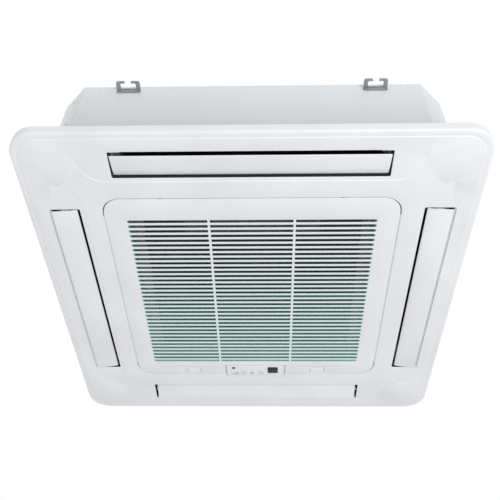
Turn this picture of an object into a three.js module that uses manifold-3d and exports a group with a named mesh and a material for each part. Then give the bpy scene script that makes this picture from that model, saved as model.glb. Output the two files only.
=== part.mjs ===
// Four-way ceiling cassette air conditioner.
// Millimetres, +Z up. The origin is in the ceiling's plane, at the middle of the ceiling opening:
// the decoration panel hangs below it, and the body stands above it in the ceiling void.
// Each of the four sides is drawn once as the near side, which faces -Y, and turned about Z.

import * as THREE from "three";
import { mergeVertices } from "three/addons/utils/BufferGeometryUtils.js";
import Module from "manifold-3d";

const wasm = await Module();
wasm.setup();

// ---------------------------------------------------------------- driving dimensions

const GAP = 0.3; // between two pieces that rest on each other
const ROUND_SIDES = 12; // sides of a small cylinder
const WHEEL_SIDES = 32; // sides of the fan's and the bell mouth's rings

// body, which everything else is set out from
const BODY_HALF = 424;
const BODY_CHAMFER = 52;
const BODY_TOP = 228;
const BODY_BOTTOM = 4;
const SHEET = 1.2;
const TOP_FOAM = 18;
const SIDE_FOAM = 12;

// decoration panel
const PANEL_OVERHANG = 51; // past the body, all round
const PANEL_HALF = BODY_HALF + PANEL_OVERHANG;
const PANEL_CORNER = 55; // corner radius of the panel's outline
const PANEL_DROP = 24; // from the ceiling's plane down to the face
const RIM_WIDTH = 14; // band round the edge, a step above the face
const RIM_STEP = 1.5;
const PANEL_SKIN = 3;
const LIP_WALL = 3;
const RIB_WALL = 2.5; // walls round the outlets and the door opening

// outlets, each in a shallow pad
const OUTLET_INSET = 46; // from the panel's edge
const OUTLET_WIDTH = 65.5;
const OUTLET_CORNER = 82.5; // each outlet ends this far short of its neighbour's inner edge
const OUTLET_OUTER = PANEL_HALF - OUTLET_INSET;
const OUTLET_INNER = OUTLET_OUTER - OUTLET_WIDTH;
const OUTLET_HALF_LENGTH = OUTLET_INNER - OUTLET_CORNER;
const PAD_DEPTH = 0.8;
const PAD_BORDER = 9.5; // inside the outlet
const PAD_END = 69; // past the outlet's end
const PAD_CORNER = 60;
const PAD_INNER = OUTLET_INNER - PAD_BORDER;
const PAD_HALF_LENGTH = OUTLET_HALF_LENGTH + PAD_END;

// vanes
const VANE_END_GAP = 1.5;
const VANE_PIVOT_RISE = 13.5; // pivot above the panel's face
const VANE_INNER_GAP = 4.75; // from the blade's edges to the outlet's
const VANE_OUTER_GAP = 3.75;
const VANE_INNER_REACH = OUTLET_WIDTH / 2 - VANE_INNER_GAP; // from the pivot
const VANE_OUTER_REACH = OUTLET_WIDTH / 2 - VANE_OUTER_GAP;
const VANE_BLADE = 2.4;
const VANE_CURL = 3; // how far the inner edge curves up
const VANE_TILT_DEG = 10; // how far open it rests
const VANE_BOSS_R = 5.5;
const VANE_PIN_R = 3;
const VANE_ARM = 4;
const STOP_LENGTH = 24; // blocks that narrow the outer gap at both ends
const STOP_DEPTH = 2.8;
const STOP_HEIGHT = 9;

// vane motors
const STEPPER_R = 10;
const STEPPER_LENGTH = 15;
const STEPPER_SHAFT_R = 2.3;
const STEPPER_SHAFT_REACH = 7; // into the vane's boss
const STEPPER_EAR = 3;

// intake grille, which is the service door
const DOOR_BORDER_X = 50; // from an outlet to the door
const DOOR_BORDER_Y = 55;
const DOOR_HALF_X = OUTLET_INNER - DOOR_BORDER_X;
const DOOR_HALF_Y = OUTLET_INNER - DOOR_BORDER_Y;
const DOOR_CORNER = 39;
const DOOR_GAP = 2.3; // all round, to the panel
const DOOR_PLATE = 3;
const DOOR_EDGE = 1.5; // chamfer of the door's edge
const DOOR_RIM_HEIGHT = 9;
const DOOR_RIM_WALL = 2.5;
const OPENING_HALF_X = DOOR_HALF_X + DOOR_GAP;
const OPENING_HALF_Y = DOOR_HALF_Y + DOOR_GAP;

// the door's slots: as many as fit between its margins
const SLOT_PITCH = 14.19;
const SLOT_WIDTH = 8;
const SLOT_SIDE_MARGIN = 45.7;
const SLOT_NEAR_MARGIN = 58.5;
const SLOT_FAR_MARGIN = 53.5;
const SLOT_FIELD_HALF_X = DOOR_HALF_X - SLOT_SIDE_MARGIN;
const SLOT_FIELD_Y = (SLOT_NEAR_MARGIN - SLOT_FAR_MARGIN) / 2; // middle of the slots
const SLOT_ROOM = 2 * DOOR_HALF_Y - SLOT_NEAR_MARGIN - SLOT_FAR_MARGIN;
const SLOT_COUNT = Math.floor((SLOT_ROOM - SLOT_WIDTH) / SLOT_PITCH) + 1;
const SLOT_FIELD_HALF_Y = ((SLOT_COUNT - 1) * SLOT_PITCH + SLOT_WIDTH) / 2;
const GRILLE_RIB_X = 92.3;
const GRILLE_RIB_WIDTH = 5.5;

// door hinge, on the near edge: each arm of the door reaches through the panel's wall to a pin
const HINGE_FROM_CORNER = 123.5;
const HINGE_X = DOOR_HALF_X - HINGE_FROM_CORNER;
const HINGE_BACK = 10.8; // pin past the door's near edge, behind the panel's face
const HINGE_RISE = 6; // pin above that face
const HINGE_PIN_R = 1.5;
const HINGE_EYE_R = 2.7;
const HINGE_ARM_WIDTH = 6;
const HINGE_ARM_THICK = 3;
const HINGE_ARM_TOP = 12.5; // top of the arm above the pin
const HINGE_ARM_GAP = 0.8; // to the window in the panel's wall
const HINGE_LUG_WIDTH = 3;
const HINGE_LUG_GAP = 1;

// display strip, across the door's far edge
const DISPLAY_HALF_X = 76.7;
const DISPLAY_INTO_DOOR = 35.5;
const DISPLAY_INTO_PANEL = 14.2;
const DISPLAY_Y0 = DOOR_HALF_Y - DISPLAY_INTO_DOOR;
const DISPLAY_Y1 = OPENING_HALF_Y + DISPLAY_INTO_PANEL;
const DISPLAY_HEIGHT = 16;
const DISPLAY_END_GAP = 3.3;
const DISPLAY_SIDE_GAP = 2;
const WINDOW_SIDE = 27;
const WINDOW_DEPTH = 3;
const WINDOW_FROM_END = 30.2; // its middle, from the strip's right end
const WINDOW_FROM_EDGE = 20.5; // and from the strip's near edge
const WINDOW_X = DISPLAY_HALF_X - WINDOW_FROM_END;
const WINDOW_Y = DISPLAY_Y0 + WINDOW_FROM_EDGE;
const BUTTON_R = 4.5;
const BUTTON_TRAVEL = 1;
const BUTTON_DEPTH = 4;
const BUTTON_PROUD = 0.4;
const BUTTON_FROM_END = 18; // its middle, from the strip's left end
const BUTTON_FROM_EDGE = 11;
const BUTTON_X = BUTTON_FROM_END - DISPLAY_HALF_X;
const BUTTON_Y = DISPLAY_Y0 + BUTTON_FROM_EDGE;

// door latches, on the far edge
const LATCH_FROM_DISPLAY = 86;
const LATCH_FROM_EDGE = 16.5;
const LATCH_X = DISPLAY_HALF_X + DISPLAY_END_GAP + LATCH_FROM_DISPLAY;
const LATCH_Y = DOOR_HALF_Y - LATCH_FROM_EDGE;
const LATCH_POCKET_X = 38;
const LATCH_POCKET_Y = 26;
const LATCH_TRAVEL = 8;
const LATCH_KEY_DEPTH = 2.2;
const LATCH_KEY_GAP = 1;
const LATCH_PLATE = 2;
const LATCH_MARGIN = 2.5; // the hidden plate is wider than the pocket
const LATCH_TONGUE_X = 16;

// air filter, a little larger than the field of slots
const FILTER_LAP_X = 4.2;
const FILTER_LAP_Y = 5.675;
const FILTER_HALF_X = SLOT_FIELD_HALF_X + FILTER_LAP_X;
const FILTER_HALF_Y = SLOT_FIELD_HALF_Y + FILTER_LAP_Y;
const FILTER_FRAME = 8;
const FILTER_HEIGHT = 5;
const FILTER_SHEET = 1;

// hanging brackets
const BRACKET_FROM_CORNER = 153; // from the body's corner, uncut
const BRACKET_DROP = 17; // from the body's top to the plate that the nut bears on
const BRACKET_X = BODY_HALF - BRACKET_FROM_CORNER;
const BRACKET_Z = BODY_TOP - BRACKET_DROP;
const BRACKET_WIDTH = 52;
const BRACKET_REACH = 23;
const BRACKET_THICK = 3;
const BRACKET_LEG = 9;
const BRACKET_WINDOW_X = 34;
const BRACKET_WINDOW_Y0 = 4.5;
const BRACKET_WINDOW_Y1 = 18;
const BRACKET_MOUTH = 14;

// drain pan, with an air duct along each side
const PAN_HEIGHT = 64;
const PAN_INNER_STEP = 8; // its inner wall is lower
const PAN_TOP = BODY_BOTTOM + PAN_HEIGHT;
const PAN_INNER_TOP = PAN_TOP - PAN_INNER_STEP;
const PAN_CHAMFER_CLEARANCE = 6;
const PAN_DUCT_INSET = 14; // from the body's side
const PAN_DUCT_WIDTH = 58;
const PAN_DUCT_END = 3; // shorter than the outlet below, at each end
const PAN_DUCT_OUTER = BODY_HALF - PAN_DUCT_INSET;
const PAN_DUCT_INNER = PAN_DUCT_OUTER - PAN_DUCT_WIDTH;
const PAN_DUCT_HALF_LENGTH = OUTLET_HALF_LENGTH - PAN_DUCT_END;

// heat exchanger, in the pan's trough
const TROUGH_BASE = 26; // foam under the trough
const TROUGH_FLOOR = BODY_BOTTOM + TROUGH_BASE;
const TROUGH_CORNER = 60;
const TROUGH_OUTER_MARGIN = 8; // from the coil to the trough's walls
const TROUGH_INNER_MARGIN = 10;
const COIL_FROM_DUCT = 48;
const COIL_THICK = 36;
const COIL_HALF = PAN_DUCT_INNER - COIL_FROM_DUCT;
const COIL_INNER = COIL_HALF - COIL_THICK;
const COIL_MIDDLE = COIL_HALF - COIL_THICK / 2;
const COIL_CORNER = 70;
const COIL_RISE = 6; // above the trough's floor
const COIL_BOTTOM = TROUGH_FLOOR + COIL_RISE;
const COIL_TOP_GAP = 3.5; // under the top foam
const COIL_TOP = BODY_TOP - SHEET - GAP - TOP_FOAM - COIL_TOP_GAP;
const COIL_OPEN_CORNER = 104; // its two ends stop this far short of the corner
const COIL_END = COIL_HALF - COIL_OPEN_CORNER;
const TROUGH_OUTER = COIL_HALF + TROUGH_OUTER_MARGIN;
const TROUGH_INNER = COIL_INNER - TROUGH_INNER_MARGIN;
const END_PLATE = 2;
const END_PLATE_MARGIN = 3;

// refrigerant pipes
const HEADER_FROM_COIL = 25; // past the coil's end
const HEADER_Y = COIL_END + HEADER_FROM_COIL;
const GAS_R = 8;
const LIQUID_R = 4.8;
const GAS_RISE = 114; // above the coil's foot
const LIQUID_RISE = 69;
const GAS_Z = COIL_BOTTOM + GAS_RISE;
const LIQUID_Z = COIL_BOTTOM + LIQUID_RISE;
const HEADER_FOOT = 12; // from the coil's foot
const HEADER_HEAD = 11; // from the coil's top
const HEADER_Z0 = COIL_BOTTOM + HEADER_FOOT;
const HEADER_Z1 = COIL_TOP - HEADER_HEAD;
const STUB_R = 3.2;
const STUB_COUNT = 6;
const PIPE_REACH = 30; // past the casing's far face
const NUT_LENGTH = 16;
const GAS_NUT_R = 15;
const LIQUID_NUT_R = 11;

// bell mouth, over the room that the filtered air comes into
const CHAMBER_WALL = 10; // between that room and the trough
const CHAMBER_HALF = TROUGH_INNER - CHAMBER_WALL;
const PAN_LEDGE = 12; // what the bell mouth's plate bears on
const CHAMBER_HEIGHT = 32;
const MOUTH_Z = BODY_BOTTOM + CHAMBER_HEIGHT; // underside of the bell mouth's plate
const MOUTH_PLATE = 3;
const MOUTH_EDGE_GAP = 1;
const MOUTH_BORDER = 34; // from that room's wall
const MOUTH_DEPTH = 42; // from the mouth's radius to the throat's
const MOUTH_R = CHAMBER_HALF - MOUTH_BORDER;
const THROAT_R = MOUTH_R - MOUTH_DEPTH;
const MOUTH_WALL = 2.5;
const THROAT_RISE = 52;
const THROAT_LENGTH = 8; // its straight end
const THROAT_TOP = MOUTH_Z + THROAT_RISE;
const FLARE_TOP = THROAT_TOP - THROAT_LENGTH;

// fan motor, under the top foam
const MOTOR_DROP = 2.5;
const MOTOR_HEIGHT = 74;
const MOTOR_R = 62;
const MOTOR_TOP = BODY_TOP - SHEET - GAP - TOP_FOAM - MOTOR_DROP;
const MOTOR_BOTTOM = MOTOR_TOP - MOTOR_HEIGHT;
const SHAFT_R = 5;
const SHAFT_DEPTH = 26; // into the motor
const SHAFT_DROP = 38; // below the motor
const SHAFT_BOTTOM = MOTOR_BOTTOM - SHAFT_DROP;
const MOTOR_BRACKET_R = 82;
const MOTOR_BRACKET_PLATE = 2.5;
const MOTOR_POST_R = 7;
const FOAM_HOLE_R = 92;

// fan wheel, whose shroud overlaps the throat from outside
const FAN_CLEARANCE = 36; // to the coil
const FAN_R = COIL_INNER - FAN_CLEARANCE;
const FAN_EYE_GAP = 6;
const FAN_EYE_R = THROAT_R + FAN_EYE_GAP;
const FAN_OVERLAP = 4; // of the shroud and the throat
const FAN_BOTTOM = THROAT_TOP - FAN_OVERLAP;
const FAN_DROP = 10; // below the motor's top
const FAN_TOP = MOTOR_TOP - FAN_DROP;
const FAN_SHROUD_HEIGHT = 38;
const FAN_SHROUD_TOP = FAN_BOTTOM + FAN_SHROUD_HEIGHT;
const FAN_WALL = 2.5;
const BLADE_COUNT = 7;
const BLADE_INNER_R = 112;
const BLADE_THICK = 5;
const BLADE_SWEEP = 0.95; // radians from root to tip
const BLADE_ROOT_RISE = 40; // of its inner edge, above the hub's foot
const BLADE_LEAN = 14; // its inner edge leans in as it rises
const HUB_CUP_GAP = 10; // round the motor, which stands in the cup
const HUB_CUP_R = MOTOR_R + HUB_CUP_GAP;
const HUB_CUP_FLARE = 12;
const HUB_CUP_TOP_R = HUB_CUP_R + HUB_CUP_FLARE;
const HUB_CUP_DEPTH = 26; // below the motor
const HUB_CUP_BOTTOM = MOTOR_BOTTOM - HUB_CUP_DEPTH;
const HUB_BEVEL = 14; // of the cup's lower edge
const HUB_BEVEL_RISE = 18;
const HUB_FLOOR = 4;
const HUB_BOSS_R = 14;
const HUB_BOSS_RISE = 10;
const SHROUD_KNEES = [[8, 14], [24, 26]]; // out from the eye and up, where the shroud bends
const FAN_NUT_R = 9;
const FAN_NUT_HEIGHT = 8;

// drain pump and its well, in the corner where the pipes leave
const WELL_FROM_CORNER = 79; // from the body's corner, uncut
const WELL_XY = BODY_HALF - WELL_FROM_CORNER;
const WELL_R = 38;
const WELL_DROP = 6; // below the trough's floor
const WELL_FLOOR = TROUGH_FLOOR - WELL_DROP;
const PUMP_R = 25;
const PUMP_HEIGHT = 64;
const PUMP_RISE = 28; // above the pan
const PUMP_STEM_R = 11;
const PUMP_STEM_RISE = 6; // above the well's floor
const PUMP_STEM_BOTTOM = WELL_FLOOR + PUMP_STEM_RISE;
const PUMP_BOTTOM = PAN_TOP + PUMP_RISE;
const PUMP_TOP = PUMP_BOTTOM + PUMP_HEIGHT;
const PUMP_TAB_RISE = 36; // above the pump's foot
const PUMP_TAB_Z = PUMP_BOTTOM + PUMP_TAB_RISE;
const PUMP_TAB_WIDTH = 34;
const PUMP_TAB_THICK = 3;

// drain hose and socket
const HOSE_R = 9;
const HOSE_RISE = 12; // above the pump's foot
const HOSE_Z = PUMP_BOTTOM + HOSE_RISE;
const HOSE_LOOP = 32; // how far it goes out before it turns up
const HOSE_TURN = 16;
const SOCKET_R = 16;
const SOCKET_BORE_R = 13;
const SOCKET_FROM_PUMP = 7;
const SOCKET_Y = WELL_XY - SOCKET_FROM_PUMP;
const SOCKET_DROP = 22.5; // below the top foam
const SOCKET_Z = BODY_TOP - SHEET - GAP - TOP_FOAM - SOCKET_DROP;
const SOCKET_REACH = 34;

// float switch
const FLOAT_FROM_PUMP_X = 37;
const FLOAT_FROM_PUMP_Y = 19;
const FLOAT_X = WELL_XY + FLOAT_FROM_PUMP_X;
const FLOAT_Y = WELL_XY - FLOAT_FROM_PUMP_Y;
const FLOAT_STEM_R = 3;
const FLOAT_R = 9;
const FLOAT_HEIGHT = 16;
const FLOAT_RISE = 10; // above the trough's floor
const FLOAT_Z = TROUGH_FLOOR + FLOAT_RISE;
const FLOAT_HEAD_R = 8;
const FLOAT_HEAD_RISE = 10; // above the pan
const FLOAT_HEAD_HEIGHT = 14;
const FLOAT_HEAD_Z0 = PAN_TOP + FLOAT_HEAD_RISE;
const FLOAT_HEAD_Z1 = FLOAT_HEAD_Z0 + FLOAT_HEAD_HEIGHT;

// control box, beside the bell mouth's opening, and its circuit board
const BOX_MARGIN = 2; // to the wall of the room
const BOX_WIDTH = 65;
const BOX_HALF_X = 150;
const BOX_Y0 = BOX_MARGIN - CHAMBER_HALF;
const BOX_Y1 = BOX_Y0 + BOX_WIDTH;
const BOX_RISE = 1.3;
const BOX_BOTTOM = BODY_BOTTOM + BOX_RISE;
const BOX_WALL = 1.2;
const COVER_LIP = 1;
const COVER_FOLD = 6;
const BOARD_MARGIN_X = 10;
const BOARD_HALF_X = BOX_HALF_X - BOARD_MARGIN_X;
const BOARD_MARGIN_Y = 4;
const BOARD_DROP = 9; // under the box's top
const BOARD_THICK = 1.6;
const BOARD_POST_INSET = 8;
const BOARD_POST_R = 3;
const TERMINALS_FROM_END = 30;
const TERMINALS_WIDTH = 50;
const TERMINALS_HEIGHT = 12;
const RELAY_X = -19;
const RELAY_SIDE = 22;
const RELAY_HEIGHT = 10;
const TRANSFORMER_FROM_END = 10;
const TRANSFORMER_WIDTH = 60;
const TRANSFORMER_DEPTH = 20;
const TRANSFORMER_HEIGHT = 13;
const CAPACITOR_X = 30;
const CAPACITOR_R = 9;
const CAPACITOR_HEIGHT = 14;
const BOARD_PART_INSET = 10; // of these parts, from the board's long edges

// panel brackets and screws, across the corners of the door opening
const SCREW_FROM_CORNER = 30.3;
const SCREW_XY = (OPENING_HALF_X + OPENING_HALF_Y) / 2 - SCREW_FROM_CORNER;
const SCREW_HEAD_R = 6;
const SCREW_HEAD = 3;
const SCREW_R = 2.4;
const SCREW_RISE = 10; // into the body
const SCREW_TOP = BODY_BOTTOM + SCREW_RISE;
const SCREW_CLEARANCE = 0.6;
const STRAP_WIDTH = 36;
const STRAP_THICK = 1.7;
const STRAP_Z = BODY_BOTTOM - STRAP_THICK - GAP;
const STRAP_LEG = 22;
const STRAP_BOSS_R = 6;
const STRAP_BOSS_RISE = 5; // into the body
const STRAP_BOSS_TOP = BODY_BOTTOM + STRAP_BOSS_RISE;
const TAB_MARGIN = 18; // |x| + |y| from the screw to the tab's free edge
const TAB_SUM = 2 * SCREW_XY - TAB_MARGIN;
const TAB_THICK = 3;

// ---------------------------------------------------------------- derived places

const FACE_Z = -PANEL_DROP;
const VANE_Y = -(OUTLET_INNER + OUTLET_OUTER) / 2;
const VANE_Z = FACE_Z + VANE_PIVOT_RISE;
const VANE_HALF_LENGTH = OUTLET_HALF_LENGTH - VANE_END_GAP;
const DUCT_END = OUTLET_HALF_LENGTH + RIB_WALL;
const DOOR_INNER_Z = FACE_Z + DOOR_PLATE;
const DOOR_RIM_Z = DOOR_INNER_Z + DOOR_RIM_HEIGHT;
const HINGE_Y = -(DOOR_HALF_Y + HINGE_BACK);
const HINGE_Z = FACE_Z + HINGE_RISE;
const HINGE_LUG_START = HINGE_ARM_WIDTH / 2 + HINGE_LUG_GAP;
const HINGE_REACH = HINGE_LUG_START + HINGE_LUG_WIDTH; // half the pin's length
const BODY_INNER = BODY_HALF - SHEET;
const LINING_HALF = BODY_INNER - GAP; // what lies against the inside of the casing
const TOP_PLATE_Z = BODY_TOP - SHEET;
const SIDE_TOP = TOP_PLATE_Z - GAP;
const FOAM_BOTTOM = SIDE_TOP - TOP_FOAM;
const DIAGONAL = Math.SQRT2;
const BODY_CORNER_REACH = (2 * BODY_HALF - BODY_CHAMFER) / DIAGONAL;
const FOAM_INNER = LINING_HALF - SIDE_FOAM;
const FOAM_CHAMFER = BODY_CHAMFER - SIDE_FOAM * (2 - DIAGONAL);
const FOAM_CORNER_SUM = 2 * FOAM_INNER - FOAM_CHAMFER; // |x| + |y| on the foam's face there
const TAB_TOP = STRAP_Z - GAP;
const QUARTER = Math.PI / 2;

const SIDES = ["near", "right", "far", "left"]; // each a quarter turn from the one before
const BOTH = [-1, 1];

// ---------------------------------------------------------------- shapes and solids

const solidOf = (geometry) => {
  const bare = geometry.clone();
  bare.deleteAttribute("normal");
  bare.deleteAttribute("uv");
  const merged = mergeVertices(bare, 1e-4);
  return new wasm.Manifold(
    new wasm.Mesh({
      numProp: 3,
      vertProperties: new Float32Array(merged.attributes.position.array),
      triVerts: new Uint32Array(merged.index.array),
    }),
  );
};

const geometryOf = (solid) => {
  const { vertProperties, triVerts } = solid.getMesh();
  const geometry = new THREE.BufferGeometry();
  geometry.setAttribute("position", new THREE.BufferAttribute(vertProperties, 3));
  geometry.setIndex(new THREE.BufferAttribute(triVerts, 1));
  geometry.computeVertexNormals();
  return geometry;
};

const join = (...geometries) => geometries.map(solidOf).reduce((all, one) => all.add(one));

const cut = (body, ...tools) =>
  tools.map(solidOf).reduce((left, tool) => left.subtract(tool), body);

// A box between two corners.
const slab = (x0, x1, y0, y1, z0, z1) =>
  new THREE.BoxGeometry(x1 - x0, y1 - y0, z1 - z0).translate((x0 + x1) / 2, (y0 + y1) / 2, (z0 + z1) / 2);

// Upright, lengthwise and crosswise cylinders between two places on their own axis.
const rodZ = (x, y, r, z0, z1, sides = ROUND_SIDES) =>
  new THREE.CylinderGeometry(r, r, z1 - z0, sides).rotateX(QUARTER).translate(x, y, (z0 + z1) / 2);
const rodX = (y, z, r, x0, x1, sides = ROUND_SIDES) =>
  new THREE.CylinderGeometry(r, r, x1 - x0, sides).rotateZ(QUARTER).translate((x0 + x1) / 2, y, z);
const rodY = (x, z, r, y0, y1, sides = ROUND_SIDES) =>
  new THREE.CylinderGeometry(r, r, y1 - y0, sides).translate(x, (y0 + y1) / 2, z);

// A flat outline in X and Y, raised from z0 to z1.
const raised = (shape, z0, z1, segments = 5) =>
  new THREE.ExtrudeGeometry(shape, {
    depth: z1 - z0,
    bevelEnabled: false,
    curveSegments: segments,
  }).translate(0, 0, z0);

// The same with its edges chamfered inside the outline.
const pillow = (shape, z0, z1, chamfer, segments = 5) =>
  new THREE.ExtrudeGeometry(shape, {
    depth: z1 - z0 - 2 * chamfer,
    bevelThickness: chamfer,
    bevelSize: chamfer,
    bevelOffset: -chamfer,
    bevelSegments: 1,
    curveSegments: segments,
  }).translate(0, 0, z0 + chamfer);

// An outline in Y and Z, drawn out along X.
const alongX = (shape, x0, x1) =>
  new THREE.ExtrudeGeometry(shape, { depth: x1 - x0, bevelEnabled: false, curveSegments: 5 })
    .applyMatrix4(
      new THREE.Matrix4().makeBasis(
        new THREE.Vector3(0, 1, 0),
        new THREE.Vector3(0, 0, 1),
        new THREE.Vector3(1, 0, 0),
      ),
    )
    .translate(x0, 0, 0);

// A closed profile of [radius, height] points, turned about Z.
const turned = (profile, sides = WHEEL_SIDES) => {
  const points = [...profile, profile[0]].map(([r, z]) => new THREE.Vector2(r, z));
  const outward = THREE.ShapeUtils.isClockWise(points) ? points.reverse() : points;
  return new THREE.LatheGeometry(outward, sides).rotateX(QUARTER);
};

const outline = (points) => new THREE.Shape(points.map(([x, y]) => new THREE.Vector2(x, y)));

const roundedRect = (halfX, halfY, r) => {
  const shape = new THREE.Shape();
  shape.moveTo(-halfX + r, -halfY);
  shape.lineTo(halfX - r, -halfY);
  shape.absarc(halfX - r, -halfY + r, r, -QUARTER, 0, false);
  shape.lineTo(halfX, halfY - r);
  shape.absarc(halfX - r, halfY - r, r, 0, QUARTER, false);
  shape.lineTo(-halfX + r, halfY);
  shape.absarc(-halfX + r, halfY - r, r, QUARTER, 2 * QUARTER, false);
  shape.lineTo(-halfX, -halfY + r);
  shape.absarc(-halfX + r, -halfY + r, r, 2 * QUARTER, 3 * QUARTER, false);
  return shape;
};

// The plan of the body and its linings: a square with its corners cut.
const octagon = (half, chamfer) => {
  const flat = half - chamfer;
  const corners = [[-flat, -half], [flat, -half], [half, -flat], [half, flat]];
  return outline([...corners, ...corners.map(([x, y]) => [-x, -y])]);
};

const withHole = (shape, hole) => {
  shape.holes.push(new THREE.Path(hole.getPoints(5)));
  return shape;
};

const turnedToSide = (geometry, quarter) => geometry.clone().rotateZ(quarter * QUARTER);

const onEachSide = (geometry) => SIDES.map((side, quarter) => turnedToSide(geometry, quarter));

// ---------------------------------------------------------------- materials and nodes

const finish = (color, roughness, metalness = 0) => () =>
  new THREE.MeshStandardMaterial({ color, roughness, metalness });

const whitePlastic = finish(0xe4e6e9, 0.42);
const ventPlastic = finish(0xd9dbdf, 0.4);
const filterNet = finish(0x6fa69c, 0.8);
const darkPlastic = finish(0x24282c, 0.3);
const greyPlastic = finish(0x8d9296, 0.5);
const blackPlastic = finish(0x1d2022, 0.6);
const paintedSheet = finish(0xd8dcdf, 0.5, 0.1);
const galvanised = finish(0xa2a6a9, 0.45, 0.8);
const copper = finish(0xb5704a, 0.35, 1);
const brass = finish(0xc2a052, 0.35, 1);
const aluminium = finish(0xb9bdc0, 0.4, 0.9);
const steel = finish(0x8f9396, 0.35, 1);
const foam = finish(0xe9e9e6, 0.9);
const greyFoam = finish(0x5a5d60, 0.95);
const fanPlastic = finish(0x3b4044, 0.6);
const circuitGreen = finish(0x2f6b46, 0.6);

const unit = new THREE.Group();
unit.name = "ceiling_cassette";

const add = (name, solid, material, parent = unit) => {
  const mesh = new THREE.Mesh(geometryOf(solid), material());
  mesh.name = name;
  parent.add(mesh);
  return mesh;
};

const sideGroups = SIDES.map((side, quarter) => {
  const group = new THREE.Group();
  group.rotation.z = quarter * QUARTER;
  unit.add(group);
  return group;
});

// ---------------------------------------------------------------- decoration panel

function panelFrame() {
  const plateau = roundedRect(PANEL_HALF - RIM_WIDTH, PANEL_HALF - RIM_WIDTH, PANEL_CORNER - RIM_WIDTH / 2);
  const rimZ = FACE_Z + RIM_STEP;
  const above = LIP_WALL; // the moulding is drawn past the ceiling's plane and cut off there
  const floorZ = FACE_Z + PANEL_SKIN;
  const cavityHalf = PANEL_HALF - RIM_WIDTH - LIP_WALL;
  const lipInner = PANEL_HALF - LIP_WALL;
  const hull = join(
    pillow(roundedRect(PANEL_HALF, PANEL_HALF, PANEL_CORNER), rimZ, above, RIM_STEP),
    pillow(plateau, FACE_Z, 0, RIM_STEP),
  );
  const shell = cut(
    hull,
    slab(-2 * PANEL_HALF, 2 * PANEL_HALF, -2 * PANEL_HALF, 2 * PANEL_HALF, 0, 2 * above),
    raised(roundedRect(cavityHalf, cavityHalf, PANEL_CORNER - RIM_WIDTH), floorZ, above),
    raised(roundedRect(lipInner, lipInner, PANEL_CORNER - LIP_WALL), rimZ + LIP_WALL, above),
    ...onEachSide(padRecess()),
  );
  const ductWalls = onEachSide(
    slab(-DUCT_END, DUCT_END, -OUTLET_OUTER - RIB_WALL, -OUTLET_INNER + RIB_WALL, FACE_Z + PAD_DEPTH, 0),
  );
  const openingWall = raised(
    roundedRect(OPENING_HALF_X + RIB_WALL, OPENING_HALF_Y + RIB_WALL, DOOR_CORNER + DOOR_GAP + RIB_WALL),
    FACE_Z,
    0,
  );
  const holes = cut(
    [openingWall, ...ductWalls, ...cornerRibs()].map(solidOf).reduce((all, one) => all.add(one), shell),
    raised(roundedRect(OPENING_HALF_X, OPENING_HALF_Y, DOOR_CORNER + DOOR_GAP), FACE_Z - above, above),
    ...onEachSide(
      slab(
        -OUTLET_HALF_LENGTH,
        OUTLET_HALF_LENGTH,
        -OUTLET_OUTER,
        -OUTLET_INNER,
        FACE_Z - above,
        above,
      ),
    ),
    ...onEachSide(rodX(VANE_Y, VANE_Z, STEPPER_SHAFT_R + 2 * GAP, OUTLET_HALF_LENGTH - 1, DUCT_END + 1)),
    ...onEachSide(rodX(VANE_Y, VANE_Z, VANE_PIN_R + GAP, -DUCT_END - 1, -OUTLET_HALF_LENGTH + 1)),
    displayNotch(),
    ...BOTH.map((end) => hingeWindow(end * HINGE_X)),
  );
  const fittings = [...vaneStops(), ...cornerTabs(), ...hingeLugs()].map(solidOf);
  return cut(
    fittings.reduce((all, one) => all.add(one), holes),
    ...screwPlaces().map(([x, y]) => rodZ(x, y, SCREW_R + SCREW_CLEARANCE, -TAB_THICK - 1, TAB_TOP + 1)),
    ...BOTH.map((end) => hingeBore(end * HINGE_X)),
  );
}

// The pad round an outlet: straight to the rim outside, with rounded inner corners.
function padRecess() {
  const rim = PANEL_HALF - RIM_WIDTH - RIM_STEP;
  const shape = new THREE.Shape();
  shape.moveTo(-PAD_HALF_LENGTH, -rim);
  shape.lineTo(PAD_HALF_LENGTH, -rim);
  shape.lineTo(PAD_HALF_LENGTH, -PAD_INNER - PAD_CORNER);
  shape.absarc(
    PAD_HALF_LENGTH - PAD_CORNER,
    -PAD_INNER - PAD_CORNER,
    PAD_CORNER,
    0,
    QUARTER,
    false,
  );
  shape.lineTo(-PAD_HALF_LENGTH + PAD_CORNER, -PAD_INNER);
  shape.absarc(
    -PAD_HALF_LENGTH + PAD_CORNER,
    -PAD_INNER - PAD_CORNER,
    PAD_CORNER,
    QUARTER,
    2 * QUARTER,
    false,
  );
  return raised(shape, FACE_Z - 1, FACE_Z + PAD_DEPTH);
}

// Stiffening ribs from the corners of the door opening to the corners of the lip.
function cornerRibs() {
  const from = Math.hypot(OPENING_HALF_X - DOOR_CORNER, OPENING_HALF_Y - DOOR_CORNER) + DOOR_CORNER;
  const to = (PANEL_HALF - PANEL_CORNER) * DIAGONAL + PANEL_CORNER - LIP_WALL / 2;
  const half = RIB_WALL / 2;
  const rib = slab(from, to, -half, half, FACE_Z + PANEL_SKIN - 1, -TAB_THICK);
  return onEachSide(rib.rotateZ(QUARTER / 2));
}

function vaneStops() {
  return BOTH.flatMap((end) => {
    const inner = end * (OUTLET_HALF_LENGTH - STOP_LENGTH);
    const outer = end * (OUTLET_HALF_LENGTH + RIB_WALL / 2);
    return onEachSide(
      slab(
        Math.min(inner, outer),
        Math.max(inner, outer),
        -OUTLET_OUTER - RIB_WALL / 2,
        -OUTLET_OUTER + STOP_DEPTH,
        FACE_Z + PANEL_SKIN,
        FACE_Z + PANEL_SKIN + STOP_HEIGHT,
      ),
    );
  });
}

function screwPlaces() {
  return BOTH.flatMap((x) => BOTH.map((y) => [x * SCREW_XY, y * SCREW_XY]));
}

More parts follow.
